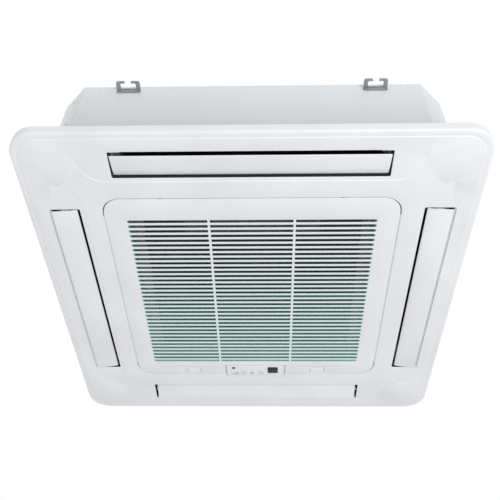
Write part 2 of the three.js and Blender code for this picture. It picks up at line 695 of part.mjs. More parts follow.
// A tab across each corner of the door opening, which a screw holds up to the body.
function cornerTabs() {
  const x1 = OPENING_HALF_X + RIB_WALL / 2;
  const y1 = OPENING_HALF_Y + RIB_WALL / 2;
  const corners = [[x1, TAB_SUM - x1], [x1, y1], [TAB_SUM - y1, y1]];
  return BOTH.flatMap((end) =>
    BOTH.map((side) =>
      raised(outline(corners.map(([x, y]) => [end * x, side * y])), TAB_TOP - TAB_THICK, TAB_TOP),
    ),
  );
}

// Two lugs on the back of the panel hold each hinge pin, behind the near wall of the opening.
function hingeLugs() {
  return BOTH.flatMap((end) =>
    BOTH.map((side) => {
      const middle = end * HINGE_X + side * (HINGE_LUG_START + HINGE_LUG_WIDTH / 2);
      return slab(
        middle - HINGE_LUG_WIDTH / 2,
        middle + HINGE_LUG_WIDTH / 2,
        HINGE_Y - HINGE_EYE_R,
        HINGE_Y + HINGE_EYE_R,
        FACE_Z + PANEL_SKIN - 1,
        HINGE_Z + HINGE_EYE_R,
      );
    }),
  );
}

// The window in the opening's near wall that a hinge arm moves through.
function hingeWindow(x) {
  const half = HINGE_ARM_WIDTH / 2 + 2 * HINGE_ARM_GAP;
  return slab(
    x - half,
    x + half,
    -OPENING_HALF_Y - RIB_WALL - 1,
    -OPENING_HALF_Y + 1,
    HINGE_Z - HINGE_ARM_THICK / 2 - HINGE_ARM_GAP,
    HINGE_Z + HINGE_ARM_TOP + HINGE_ARM_GAP,
  );
}

function hingeBore(x) {
  return rodX(HINGE_Y, HINGE_Z, HINGE_PIN_R + GAP, x - HINGE_REACH - 1, x + HINGE_REACH + 1);
}

function displayNotch() {
  return slab(
    -DISPLAY_HALF_X - GAP,
    DISPLAY_HALF_X + GAP,
    0,
    DISPLAY_Y1 + GAP,
    FACE_Z - 1,
    FACE_Z + DISPLAY_HEIGHT + GAP,
  );
}

add("panel_frame", panelFrame(), whitePlastic);

// ---------------------------------------------------------------- vanes and their motors

// The blade's section about the pivot, closed: flush with the face, its inner edge curved up.
function vaneSection() {
  const bottom = -VANE_PIVOT_RISE;
  const shape = new THREE.Shape();
  shape.moveTo(-VANE_OUTER_REACH, bottom);
  shape.lineTo(0, bottom);
  shape.quadraticCurveTo(VANE_INNER_REACH / 2, bottom, VANE_INNER_REACH, bottom + VANE_CURL);
  shape.lineTo(VANE_INNER_REACH, bottom + VANE_CURL + VANE_BLADE);
  shape.quadraticCurveTo(VANE_INNER_REACH / 2, bottom + VANE_BLADE, 0, bottom + VANE_BLADE);
  shape.lineTo(-VANE_OUTER_REACH, bottom + VANE_BLADE);
  return shape;
}

function vane() {
  const armX = VANE_HALF_LENGTH - VANE_ARM;
  const foot = VANE_INNER_REACH / 2;
  const arm = outline([
    [-foot, VANE_BLADE / 2 - VANE_PIVOT_RISE],
    [foot / 2, VANE_BLADE / 2 - VANE_PIVOT_RISE],
    [VANE_BOSS_R, 0],
    [-VANE_BOSS_R, 0],
  ]);
  const bossDepth = STEPPER_SHAFT_REACH + VANE_ARM;
  const body = join(
    alongX(vaneSection(), -VANE_HALF_LENGTH, VANE_HALF_LENGTH),
    alongX(arm, armX, VANE_HALF_LENGTH),
    alongX(arm, -VANE_HALF_LENGTH, -armX),
    rodX(0, 0, VANE_BOSS_R, VANE_HALF_LENGTH - bossDepth, VANE_HALF_LENGTH),
    rodX(0, 0, VANE_BOSS_R, -VANE_HALF_LENGTH, -armX),
    rodX(0, 0, VANE_PIN_R, -DUCT_END - 1, -armX),
  );
  const boreEnd = OUTLET_HALF_LENGTH - STEPPER_SHAFT_REACH - 1;
  return cut(body, rodX(0, 0, STEPPER_SHAFT_R + GAP, boreEnd, VANE_HALF_LENGTH + 1));
}

function vaneMotor() {
  const x0 = DUCT_END + GAP;
  return join(
    rodX(0, 0, STEPPER_R, x0, x0 + STEPPER_LENGTH),
    rodX(0, 0, STEPPER_SHAFT_R, OUTLET_HALF_LENGTH - STEPPER_SHAFT_REACH, x0 + 1),
    slab(x0, x0 + STEPPER_EAR, -STEPPER_R - STEPPER_EAR, STEPPER_R + STEPPER_EAR, -STEPPER_EAR, STEPPER_EAR),
  );
}

SIDES.forEach((side, quarter) => {
  const blade = add("vane_" + side, vane(), ventPlastic, sideGroups[quarter]);
  blade.position.set(0, VANE_Y, VANE_Z);
  blade.rotation.x = (VANE_TILT_DEG * Math.PI) / 180;
  const motor = add("vane_motor_" + side, vaneMotor(), greyPlastic, sideGroups[quarter]);
  motor.position.set(0, VANE_Y, VANE_Z);
});

// ---------------------------------------------------------------- intake grille, the service door

function intakeGrille() {
  const plan = roundedRect(DOOR_HALF_X, DOOR_HALF_Y, DOOR_CORNER);
  const plate = pillow(plan, FACE_Z, DOOR_RIM_Z, DOOR_EDGE);
  const inner = raised(
    roundedRect(DOOR_HALF_X - DOOR_RIM_WALL, DOOR_HALF_Y - DOOR_RIM_WALL, DOOR_CORNER - DOOR_RIM_WALL),
    DOOR_INNER_Z,
    DOOR_RIM_Z + 1,
  );
  const tray = cut(
    join(plate),
    inner,
    ...slots(),
    displayCutout(),
    ...BOTH.map((end) => latchPocket(end * LATCH_X)),
    ...BOTH.map((end) => tongueCutout(end * LATCH_X)),
  );
  const arms = BOTH.flatMap((end) => hingeArm(end * HINGE_X)).map(solidOf);
  return cut(
    arms.reduce((all, one) => all.add(one), tray),
    ...BOTH.map((end) => hingeBore(end * HINGE_X)),
  );
}

// Three columns of slots, with a rib between each two.
function slots() {
  const first = SLOT_FIELD_Y - ((SLOT_COUNT - 1) / 2) * SLOT_PITCH;
  const ribHalf = GRILLE_RIB_WIDTH / 2;
  const columns = [
    [-SLOT_FIELD_HALF_X, -GRILLE_RIB_X - ribHalf],
    [-GRILLE_RIB_X + ribHalf, GRILLE_RIB_X - ribHalf],
    [GRILLE_RIB_X + ribHalf, SLOT_FIELD_HALF_X],
  ];
  return Array.from({ length: SLOT_COUNT }, (unused, i) => first + i * SLOT_PITCH).flatMap((y) =>
    columns.map(([x0, x1]) =>
      slab(x0, x1, y - SLOT_WIDTH / 2, y + SLOT_WIDTH / 2, FACE_Z - 1, DOOR_INNER_Z + 1),
    ),
  );
}

function displayCutout() {
  const half = DISPLAY_HALF_X + DISPLAY_END_GAP;
  return slab(-half, half, DISPLAY_Y0 - DISPLAY_SIDE_GAP, DOOR_HALF_Y + 1, FACE_Z - 1, DOOR_RIM_Z + 1);
}

function latchPocket(x) {
  return slab(
    x - LATCH_POCKET_X / 2,
    x + LATCH_POCKET_X / 2,
    LATCH_Y - LATCH_POCKET_Y / 2,
    LATCH_Y + LATCH_POCKET_Y / 2,
    FACE_Z - 1,
    DOOR_INNER_Z + 1,
  );
}

function tongueCutout(x) {
  const half = LATCH_TONGUE_X / 2 + 1;
  const y0 = DOOR_HALF_Y - 2 * DOOR_RIM_WALL;
  return slab(x - half, x + half, y0, DOOR_HALF_Y + 1, DOOR_INNER_Z, DOOR_RIM_Z + 1);
}

// A gooseneck: up from the door's near edge, over to the pin's place and down to the eye round it.
function hingeArm(x) {
  const x0 = x - HINGE_ARM_WIDTH / 2;
  const x1 = x + HINGE_ARM_WIDTH / 2;
  const edge = -DOOR_HALF_Y;
  const neck = HINGE_ARM_THICK / 2;
  const top = HINGE_Z + HINGE_ARM_TOP;
  return [
    slab(x0, x1, edge, edge + HINGE_ARM_THICK, DOOR_INNER_Z - 1, top),
    slab(x0, x1, HINGE_Y - neck, edge + HINGE_ARM_THICK, top - HINGE_ARM_THICK, top),
    slab(x0, x1, HINGE_Y - neck, HINGE_Y + neck, HINGE_Z, top),
    rodX(HINGE_Y, HINGE_Z, HINGE_EYE_R, x0, x1),
  ];
}

add("intake_grille", intakeGrille(), whitePlastic);

BOTH.forEach((end) => {
  const side = end < 0 ? "left" : "right";
  const pin = join(rodX(0, 0, HINGE_PIN_R, -HINGE_REACH, HINGE_REACH));
  add("hinge_pin_" + side, pin, steel).position.set(end * HINGE_X, HINGE_Y, HINGE_Z);
});

// A thumb key in its pocket, and behind the door a wider plate with the tongue.
function latch() {
  const keyY0 = -LATCH_POCKET_Y / 2 + LATCH_TRAVEL + LATCH_KEY_GAP;
  const keyY1 = LATCH_POCKET_Y / 2 - LATCH_KEY_GAP;
  const keyHalf = LATCH_POCKET_X / 2 - LATCH_KEY_GAP;
  const plateHalf = LATCH_POCKET_X / 2 + LATCH_MARGIN;
  const plateZ = DOOR_INNER_Z + GAP;
  const tongueEnd = DOOR_HALF_Y - LATCH_Y - LATCH_KEY_GAP;
  return join(
    slab(-keyHalf, keyHalf, keyY0, keyY1, FACE_Z + LATCH_KEY_DEPTH - DOOR_EDGE, plateZ + 1),
    slab(-plateHalf, plateHalf, keyY0 - LATCH_MARGIN, keyY1 + LATCH_KEY_GAP, plateZ, plateZ + LATCH_PLATE),
    slab(-LATCH_TONGUE_X / 2, LATCH_TONGUE_X / 2, keyY0, tongueEnd, plateZ, plateZ + 2 * LATCH_PLATE),
  );
}

BOTH.forEach((end) => {
  const side = end < 0 ? "left" : "right";
  add("latch_" + side, latch(), whitePlastic).position.set(end * LATCH_X, LATCH_Y, 0);
});

function airFilter() {
  const top = FILTER_HEIGHT;
  const frame = withHole(
    roundedRect(FILTER_HALF_X, FILTER_HALF_Y, FILTER_FRAME),
    roundedRect(FILTER_HALF_X - FILTER_FRAME, FILTER_HALF_Y - FILTER_FRAME, FILTER_FRAME / 2),
  );
  const ribHalf = GRILLE_RIB_WIDTH / 2;
  return join(
    raised(frame, 0, top, 4),
    slab(-FILTER_HALF_X + 1, FILTER_HALF_X - 1, -FILTER_HALF_Y + 1, FILTER_HALF_Y - 1, 0, FILTER_SHEET),
    ...BOTH.map((end) =>
      slab(
        end * GRILLE_RIB_X - ribHalf,
        end * GRILLE_RIB_X + ribHalf,
        -FILTER_HALF_Y + 1,
        FILTER_HALF_Y - 1,
        0,
        top / 2,
      ),
    ),
    slab(-FILTER_HALF_X + 1, FILTER_HALF_X - 1, -ribHalf, ribHalf, 0, top / 2),
  );
}

add("air_filter", airFilter(), filterNet).position.set(0, SLOT_FIELD_Y, DOOR_INNER_Z + GAP);

// ---------------------------------------------------------------- display strip

function displayHousing() {
  const half = WINDOW_SIDE / 2 + GAP;
  const top = FACE_Z + DISPLAY_HEIGHT;
  const wellTop = FACE_Z - BUTTON_PROUD + BUTTON_DEPTH + BUTTON_TRAVEL + GAP;
  return cut(
    join(slab(-DISPLAY_HALF_X, DISPLAY_HALF_X, DISPLAY_Y0, DISPLAY_Y1, FACE_Z, top)),
    slab(
      WINDOW_X - half,
      WINDOW_X + half,
      WINDOW_Y - half,
      WINDOW_Y + half,
      FACE_Z - 1,
      FACE_Z + WINDOW_DEPTH,
    ),
    rodZ(BUTTON_X, BUTTON_Y, BUTTON_R + GAP, FACE_Z - 1, wellTop),
  );
}

add("display_housing", displayHousing(), whitePlastic);

const windowSolid = join(
  slab(-WINDOW_SIDE / 2, WINDOW_SIDE / 2, -WINDOW_SIDE / 2, WINDOW_SIDE / 2, 0, WINDOW_DEPTH - GAP),
);
add("receiver_window", windowSolid, darkPlastic).position.set(WINDOW_X, WINDOW_Y, FACE_Z);

const buttonSolid = join(rodZ(0, 0, BUTTON_R, 0, BUTTON_DEPTH));
add("manual_button", buttonSolid, darkPlastic).position.set(BUTTON_X, BUTTON_Y, FACE_Z - BUTTON_PROUD);

// ---------------------------------------------------------------- casing and its foam

// A side plate of the casing, folded at one end across the cut corner.
function casingSide(...holes) {
  const flat = BODY_HALF - BODY_CHAMFER;
  const fold = SHEET * (DIAGONAL - 1); // the inner edge's shift at a 45 degree fold
  const plan = outline([
    [-flat + 2 * GAP, -BODY_HALF],
    [flat, -BODY_HALF],
    [BODY_HALF, -flat],
    [BODY_HALF - SHEET, -flat + fold],
    [flat - fold, -BODY_HALF + SHEET],
    [-flat + 2 * GAP, -BODY_HALF + SHEET],
  ]);
  return cut(join(raised(plan, BODY_BOTTOM, SIDE_TOP)), ...holes);
}

const throughWall = [-BODY_HALF - 1, -BODY_INNER + SIDE_FOAM + 2]; // in Y, past casing and foam
const pipeHoles = [
  [COIL_MIDDLE, GAS_Z, GAS_R + GAP],
  [HEADER_Y, LIQUID_Z, LIQUID_R + GAP],
].map(([x, z, r]) => rodY(-x, z, r, ...throughWall)); // on the far side, drawn as the near one
const socketHole = rodY(SOCKET_Y, SOCKET_Z, SOCKET_R + GAP, ...throughWall); // on the right side
const HOLES = { near: [], right: [socketHole], far: pipeHoles, left: [] };

SIDES.forEach((side, quarter) => {
  add("casing_side_" + side, casingSide(...HOLES[side]), paintedSheet, sideGroups[quarter]);
});

const topPlate = join(raised(octagon(BODY_HALF, BODY_CHAMFER), TOP_PLATE_Z, BODY_TOP));
add("casing_top", topPlate, paintedSheet);

const topFoam = cut(
  join(raised(octagon(LINING_HALF, BODY_CHAMFER), FOAM_BOTTOM, SIDE_TOP)),
  rodZ(0, 0, FOAM_HOLE_R, FOAM_BOTTOM - 1, SIDE_TOP + 1, WHEEL_SIDES),
);
add("top_insulation", topFoam, foam);

function sideInsulation() {
  const wall = withHole(octagon(LINING_HALF, BODY_CHAMFER), octagon(FOAM_INNER, FOAM_CHAMFER));
  return cut(
    join(raised(wall, PAN_TOP + GAP, FOAM_BOTTOM - GAP)),
    ...pipeHoles.map((hole) => turnedToSide(hole, SIDES.indexOf("far"))),
    turnedToSide(socketHole, SIDES.indexOf("right")),
  );
}

add("side_insulation", sideInsulation(), greyFoam);

// ---------------------------------------------------------------- hanging brackets

// A plate that stands out from the casing, with a window for the washer and a mouth for the rod,
// and a leg welded to the casing.
function hangingBracket() {
  const half = BRACKET_WIDTH / 2;
  const plan = outline([
    [-half, 0],
    [half, 0],
    [half, -BRACKET_REACH],
    [BRACKET_MOUTH / 2, -BRACKET_REACH],
    [BRACKET_MOUTH / 2, -BRACKET_WINDOW_Y1],
    [BRACKET_WINDOW_X / 2, -BRACKET_WINDOW_Y1],
    [BRACKET_WINDOW_X / 2, -BRACKET_WINDOW_Y0],
    [-BRACKET_WINDOW_X / 2, -BRACKET_WINDOW_Y0],
    [-BRACKET_WINDOW_X / 2, -BRACKET_WINDOW_Y1],
    [-BRACKET_MOUTH / 2, -BRACKET_WINDOW_Y1],
    [-BRACKET_MOUTH / 2, -BRACKET_REACH],
    [-half, -BRACKET_REACH],
  ]);
  return join(
    raised(plan, 0, BRACKET_THICK),
    slab(-half, half, -BRACKET_THICK, 0, -BRACKET_LEG, BRACKET_THICK),
  );
}

["near", "far"].forEach((side) => {
  BOTH.forEach((end) => {
    const place = SIDES.indexOf(side);
    const name = "hanging_bracket_" + side + (end * (place ? -1 : 1) < 0 ? "_left" : "_right");
    const bracket = add(name, hangingBracket(), galvanised, sideGroups[place]);
    bracket.position.set(end * BRACKET_X, -BODY_HALF - GAP, BRACKET_Z);
  });
});

// ---------------------------------------------------------------- heat exchanger and pipes

function evaporatorCoil() {
  const ring = withHole(
    roundedRect(COIL_HALF, COIL_HALF, COIL_CORNER),
    roundedRect(COIL_INNER, COIL_INNER, COIL_CORNER - COIL_THICK),
  );
  return cut(
    join(raised(ring, COIL_BOTTOM, COIL_TOP)),
    slab(COIL_END, COIL_HALF + 1, COIL_END, COIL_HALF + 1, COIL_BOTTOM - 1, COIL_TOP + 1),
  );
}

add("evaporator_coil", evaporatorCoil(), aluminium);

const PLATE_AT = COIL_END + GAP;
const PLATE_END = PLATE_AT + END_PLATE;
const plateSpan = [COIL_INNER - END_PLATE_MARGIN, COIL_HALF + END_PLATE_MARGIN];
const plateHeight = [COIL_BOTTOM, COIL_TOP + 1];
add("coil_end_plate_right", join(slab(...plateSpan, PLATE_AT, PLATE_END, ...plateHeight)), galvanised);
add("coil_end_plate_far", join(slab(PLATE_AT, PLATE_END, ...plateSpan, ...plateHeight)), galvanised);

// Closes the open corner of the ring, so that the air goes through the fins.
const baffleFrom = PLATE_END + GAP;
const baffleOut = plateSpan[0] + SHEET;
const baffle = join(
  slab(plateSpan[0], baffleOut, baffleFrom, baffleOut, ...plateHeight),
  slab(baffleFrom, baffleOut, plateSpan[0], baffleOut, ...plateHeight),
);
add("coil_baffle", baffle, galvanised);

const stubHeights = Array.from(
  { length: STUB_COUNT },
  (unused, i) => HEADER_Z0 + ((i + 0.5) * (HEADER_Z1 - HEADER_Z0)) / STUB_COUNT,
);
const pipeEnd = BODY_HALF + PIPE_REACH;
const nutStart = pipeEnd - NUT_LENGTH;

// Each header stands by one end plate, and its pipe leaves through the far face.
const gasHeader = join(
  rodZ(COIL_MIDDLE, HEADER_Y, GAS_R + 1, HEADER_Z0, HEADER_Z1),
  ...stubHeights.map((z) => rodY(COIL_MIDDLE, z, STUB_R, PLATE_END + GAP, HEADER_Y, 6)),
  rodY(COIL_MIDDLE, GAS_Z, GAS_R, HEADER_Y, pipeEnd),
);
add("gas_header", gasHeader, copper);

const liquidHeader = join(
  rodZ(HEADER_Y, COIL_MIDDLE, LIQUID_R + 1, HEADER_Z0, HEADER_Z1),
  ...stubHeights.map((z) => rodX(COIL_MIDDLE, z, STUB_R, PLATE_END + GAP, HEADER_Y, 6)),
  rodY(HEADER_Y, LIQUID_Z, LIQUID_R, COIL_MIDDLE, pipeEnd),
);
add("liquid_header", liquidHeader, copper);

const flareNut = (r, bore) =>
  cut(join(rodY(0, 0, r, nutStart, pipeEnd - 1, 6)), rodY(0, 0, bore + GAP, nutStart - 1, pipeEnd));
add("gas_flare_nut", flareNut(GAS_NUT_R, GAS_R), brass).position.set(COIL_MIDDLE, 0, GAS_Z);
add("liquid_flare_nut", flareNut(LIQUID_NUT_R, LIQUID_R), brass).position.set(HEADER_Y, 0, LIQUID_Z);

// ---------------------------------------------------------------- drain pan

function drainPan() {
  const bottom = BODY_BOTTOM + GAP;
  const chamferOfPan = BODY_CHAMFER + PAN_CHAMFER_CLEARANCE;
  const ledgeZ = MOUTH_Z + MOUTH_PLATE + GAP;
  const ledgeHalf = CHAMBER_HALF - PAN_LEDGE;
  const trough = withHole(
    roundedRect(TROUGH_OUTER, TROUGH_OUTER, TROUGH_CORNER),
    roundedRect(TROUGH_INNER, TROUGH_INNER, DOOR_EDGE),
  );
  const well = WELL_XY - WELL_R / 2;
  const toWell = TROUGH_OUTER - TROUGH_CORNER;
  return cut(
    join(raised(octagon(LINING_HALF, chamferOfPan), bottom, PAN_TOP)),
    slab(-TROUGH_INNER, TROUGH_INNER, -TROUGH_INNER, TROUGH_INNER, PAN_INNER_TOP, PAN_TOP + 1),
    slab(-ledgeHalf, ledgeHalf, -ledgeHalf, ledgeHalf, bottom - 1, PAN_INNER_TOP + 1),
    slab(-CHAMBER_HALF, CHAMBER_HALF, -CHAMBER_HALF, CHAMBER_HALF, bottom - 1, ledgeZ),
    raised(trough, TROUGH_FLOOR, PAN_TOP + 1),
    rodZ(WELL_XY, WELL_XY, WELL_R, WELL_FLOOR, PAN_TOP + 1),
    slab(toWell, well, toWell, well, TROUGH_FLOOR, PAN_TOP + 1),
    rodZ(FLOAT_X, FLOAT_Y, FLOAT_R + 4, TROUGH_FLOOR, PAN_TOP + 1),
    ...onEachSide(
      slab(
        -PAN_DUCT_HALF_LENGTH,
        PAN_DUCT_HALF_LENGTH,
        -PAN_DUCT_OUTER,
        -PAN_DUCT_INNER,
        bottom - 1,
        PAN_TOP + 1,
      ),
    ),
    ...screwPlaces().map(([x, y]) => rodZ(x, y, STRAP_BOSS_R + 3, bottom - 1, SCREW_TOP + 2)),
  );
}

add("drain_pan", drainPan(), foam);

// ---------------------------------------------------------------- bell mouth

function bellMouth() {
  const half = CHAMBER_HALF - MOUTH_EDGE_GAP;
  const steps = 5;
  const halfStep = Math.PI / WHEEL_SIDES; // the hole's corners fall between the flare's
  const start = MOUTH_Z + (MOUTH_PLATE - MOUTH_WALL) / 2; // the flare's edge is inside the plate
  const holeR = MOUTH_R + MOUTH_WALL / 2;
  const arc = (inset) =>
    Array.from({ length: steps + 1 }, (unused, i) => {
      const angle = (i / steps) * QUARTER;
      return [
        MOUTH_R - (MOUTH_R - THROAT_R - inset) * Math.sin(angle),
        FLARE_TOP - (FLARE_TOP - start - inset) * Math.cos(angle),
      ];
    });
  const flare = turned([
    [MOUTH_R + MOUTH_WALL, start],
    ...arc(0),
    [THROAT_R, THROAT_TOP],
    [THROAT_R + MOUTH_WALL, THROAT_TOP],
    ...arc(MOUTH_WALL).reverse(),
    [MOUTH_R + MOUTH_WALL, start + MOUTH_WALL],
  ]);
  const plate = cut(
    join(slab(-half, half, -half, half, MOUTH_Z, MOUTH_Z + MOUTH_PLATE)),
    rodZ(0, 0, holeR, MOUTH_Z - 1, MOUTH_Z + MOUTH_PLATE + 1, WHEEL_SIDES).rotateZ(halfStep),
  );
  return plate.add(solidOf(flare));
}

add("bell_mouth", bellMouth(), blackPlastic);

// ---------------------------------------------------------------- fan and motor

// Backward-curved blades between a back plate, which is cupped round the motor, and a shroud ring.
function fanWheel() {
  const knee = HUB_CUP_R - HUB_BEVEL;
  const hub = turned([
    [SHAFT_R + GAP, HUB_CUP_BOTTOM - HUB_FLOOR],
    [HUB_BOSS_R, HUB_CUP_BOTTOM - HUB_FLOOR],
    [knee, HUB_CUP_BOTTOM],
    [HUB_CUP_R + FAN_WALL, HUB_CUP_BOTTOM + HUB_BEVEL_RISE],
    [HUB_CUP_TOP_R + FAN_WALL, FAN_TOP - FAN_WALL],
    [FAN_R, FAN_TOP - FAN_WALL],
    [FAN_R, FAN_TOP],
    [HUB_CUP_TOP_R, FAN_TOP],
    [HUB_CUP_R, HUB_CUP_BOTTOM + HUB_BEVEL_RISE + FAN_WALL],
    [knee - 1, HUB_CUP_BOTTOM + FAN_WALL],
    [HUB_BOSS_R, HUB_CUP_BOTTOM + HUB_BOSS_RISE],
    [SHAFT_R + GAP, HUB_CUP_BOTTOM + HUB_BOSS_RISE],
  ]);
  const shroudLine = [
    [FAN_EYE_R, FAN_BOTTOM],
    ...SHROUD_KNEES.map(([out, up]) => [FAN_EYE_R + out, FAN_BOTTOM + up]),
    [FAN_R, FAN_SHROUD_TOP - FAN_WALL],
  ];
  const shroud = turned([
    ...shroudLine,
    ...shroudLine.map(([r, z]) => [r, z + (r < FAN_R ? FAN_WALL + 1 : FAN_WALL)]).reverse(),
  ]);
  const insideShroud = shroudLine.slice(1).map(([r, z]) => [r, z + FAN_WALL / 2]);
  const bladeZone = solidOf(
    turned([
      [BLADE_INNER_R, HUB_CUP_BOTTOM + BLADE_ROOT_RISE],
      ...insideShroud.slice(0, -1),
      [FAN_R - 1, FAN_SHROUD_TOP - FAN_WALL / 2],
      [FAN_R - 1, FAN_TOP - FAN_WALL / 2],
      [BLADE_INNER_R - BLADE_LEAN, FAN_TOP - FAN_WALL / 2],
    ]),
  );
  const blade = raised(bladePlan(), FAN_BOTTOM, FAN_TOP - FAN_WALL / 2, 6);
  const blades = Array.from({ length: BLADE_COUNT }, (unused, i) =>
    solidOf(blade.clone().rotateZ((i * 2 * Math.PI) / BLADE_COUNT)),
  ).reduce((all, one) => all.add(one));
  return solidOf(hub).add(solidOf(shroud)).add(blades.intersect(bladeZone));
}

// One blade in plan: a curved strip from the inner radius to the rim, leaning back as it goes out.
function bladePlan() {
  const steps = 5;
  const root = BLADE_INNER_R - BLADE_LEAN;
  const tip = FAN_R + 1;
  const edge = (offset) =>
    Array.from({ length: steps + 1 }, (unused, i) => {
      const share = i / steps;
      const r = root + (tip - root) * share;
      const angle = -BLADE_SWEEP * share ** 1.2;
      const across = [-offset * Math.sin(angle), offset * Math.cos(angle)];
      return [r * Math.cos(angle) + across[0], r * Math.sin(angle) + across[1]];
    });
  return outline([...edge(-BLADE_THICK / 2), ...edge(BLADE_THICK / 2).reverse()]);
}

add("fan_wheel", fanWheel(), fanPlastic);

const shaftTop = MOTOR_BOTTOM + SHAFT_DEPTH - 1;
add("motor_shaft", join(rodZ(0, 0, SHAFT_R, SHAFT_BOTTOM, shaftTop)), steel);

const fanMotor = cut(
  join(rodZ(0, 0, MOTOR_R, MOTOR_BOTTOM, MOTOR_TOP, WHEEL_SIDES)),
  rodZ(0, 0, SHAFT_R + GAP, MOTOR_BOTTOM - 1, MOTOR_BOTTOM + SHAFT_DEPTH),
);
add("fan_motor", fanMotor, galvanised);

const postReach = (MOTOR_BRACKET_R - MOTOR_POST_R - 1) / DIAGONAL;
const motorBracket = join(
  rodZ(0, 0, MOTOR_BRACKET_R, MOTOR_TOP + GAP, MOTOR_TOP + GAP + MOTOR_BRACKET_PLATE, WHEEL_SIDES),
  ...BOTH.flatMap((x) =>
    BOTH.map((y) => rodZ(x * postReach, y * postReach, MOTOR_POST_R, MOTOR_TOP + 1, SIDE_TOP, 8)),
  ),
);
add("motor_bracket", motorBracket, galvanised);

const nutTop = HUB_CUP_BOTTOM - 4 - GAP;
const fanNut = cut(
  join(rodZ(0, 0, FAN_NUT_R, nutTop - FAN_NUT_HEIGHT, nutTop, 6)),
  rodZ(0, 0, SHAFT_R + GAP, nutTop - FAN_NUT_HEIGHT - 1, nutTop + 1),
);
add("fan_nut", fanNut, steel);

// ---------------------------------------------------------------- drain pump, hose and float switch

// The pump hangs on a tab that reaches the foam of the cut corner, and its stem stands in the well.
function drainPump() {
  const reach = (FOAM_CORNER_SUM / 2 - WELL_XY) * DIAGONAL - GAP;
  const half = PUMP_TAB_WIDTH / 2;
  const tab = slab(0, reach, -half, half, PUMP_TAB_Z, PUMP_TAB_Z + PUMP_TAB_THICK);
  return join(
    rodZ(0, 0, PUMP_R, PUMP_BOTTOM, PUMP_TOP),
    rodZ(0, 0, PUMP_STEM_R, PUMP_STEM_BOTTOM, PUMP_BOTTOM + 1),
    tab.rotateZ(QUARTER / 2),
  );
}

add("drain_pump", drainPump(), greyPlastic).position.set(WELL_XY, WELL_XY, 0);

const socketX = FOAM_INNER - 8;
const socket = cut(
  join(rodX(SOCKET_Y, SOCKET_Z, SOCKET_R, socketX, BODY_HALF + SOCKET_REACH)),
  rodX(SOCKET_Y, SOCKET_Z, SOCKET_BORE_R, socketX - 1, BODY_HALF + SOCKET_REACH + 1),
);
add("drain_socket", socket, greyPlastic);

// Leaves the pump towards the near side, turns up, and plugs into the socket.
function drainHose() {
  const start = WELL_XY - PUMP_R - GAP;
  const route = new THREE.CatmullRomCurve3(
    [
      [WELL_XY, start, HOSE_Z],
      [WELL_XY, start - HOSE_LOOP / 2, HOSE_Z],
      [WELL_XY + 2, start - HOSE_LOOP, HOSE_Z + HOSE_TURN],
      [WELL_XY + HOSE_TURN / 2, start - HOSE_LOOP + 2, SOCKET_Z - 26],
      [WELL_XY + 24, SOCKET_Y - 12, SOCKET_Z - 4],
      [socketX - 6, SOCKET_Y, SOCKET_Z],
      [socketX + 12, SOCKET_Y, SOCKET_Z],
    ].map(([x, y, z]) => new THREE.Vector3(x, y, z)),
  );
  const section = new THREE.Shape().absarc(0, 0, HOSE_R, 0, 2 * Math.PI, false);
  const tube = new THREE.ExtrudeGeometry(section, {
    steps: 18,
    curveSegments: 5,
    bevelEnabled: false,
    extrudePath: route,
  });
  return join(tube);
}

add("drain_hose", drainHose(), greyPlastic);

function floatSwitch() {
  const reach = FOAM_INNER - GAP;
  return join(
    rodZ(FLOAT_X, FLOAT_Y, FLOAT_STEM_R, TROUGH_FLOOR + 2, FLOAT_HEAD_Z0 + 1),
    rodZ(FLOAT_X, FLOAT_Y, FLOAT_HEAD_R, FLOAT_HEAD_Z0, FLOAT_HEAD_Z1),
    slab(FLOAT_X, reach, FLOAT_Y - 6, FLOAT_Y + 6, FLOAT_HEAD_Z0 + 2, FLOAT_HEAD_Z0 + 6),
    rodZ(FLOAT_X, FLOAT_Y, FLOAT_STEM_R + 2.5, TROUGH_FLOOR + 2, FLOAT_Z - GAP),
  );
}

add("float_switch", floatSwitch(), greyPlastic);

const floatRing = cut(
  join(rodZ(FLOAT_X, FLOAT_Y, FLOAT_R, FLOAT_Z, FLOAT_Z + FLOAT_HEIGHT)),
  rodZ(FLOAT_X, FLOAT_Y, FLOAT_STEM_R + GAP, FLOAT_Z - 1, FLOAT_Z + FLOAT_HEIGHT + 1),
);
add("float", floatRing, whitePlastic);

// ---------------------------------------------------------------- control box

const boxTop = MOUTH_Z - GAP;
const controlBox = cut(
  join(slab(-BOX_HALF_X, BOX_HALF_X, BOX_Y0, BOX_Y1, BOX_BOTTOM, boxTop)),
  slab(
    -BOX_HALF_X + BOX_WALL,
    BOX_HALF_X - BOX_WALL,
    BOX_Y0 + BOX_WALL,
    BOX_Y1 - BOX_WALL,
    BOX_BOTTOM - 1,
    boxTop - BOX_WALL,
  ),
);
add("control_box", controlBox, galvanised);

const coverTop = BOX_BOTTOM - GAP;
const lipEnd = BOX_Y1 + COVER_LIP;
const boxCover = join(
  slab(-BOX_HALF_X, BOX_HALF_X, BOX_Y0, lipEnd, coverTop - BOX_WALL, coverTop),
  slab(-BOX_HALF_X, BOX_HALF_X, BOX_Y1 + GAP, lipEnd, coverTop - BOX_WALL, coverTop + COVER_FOLD),
);
add("control_box_cover", boxCover, galvanised);

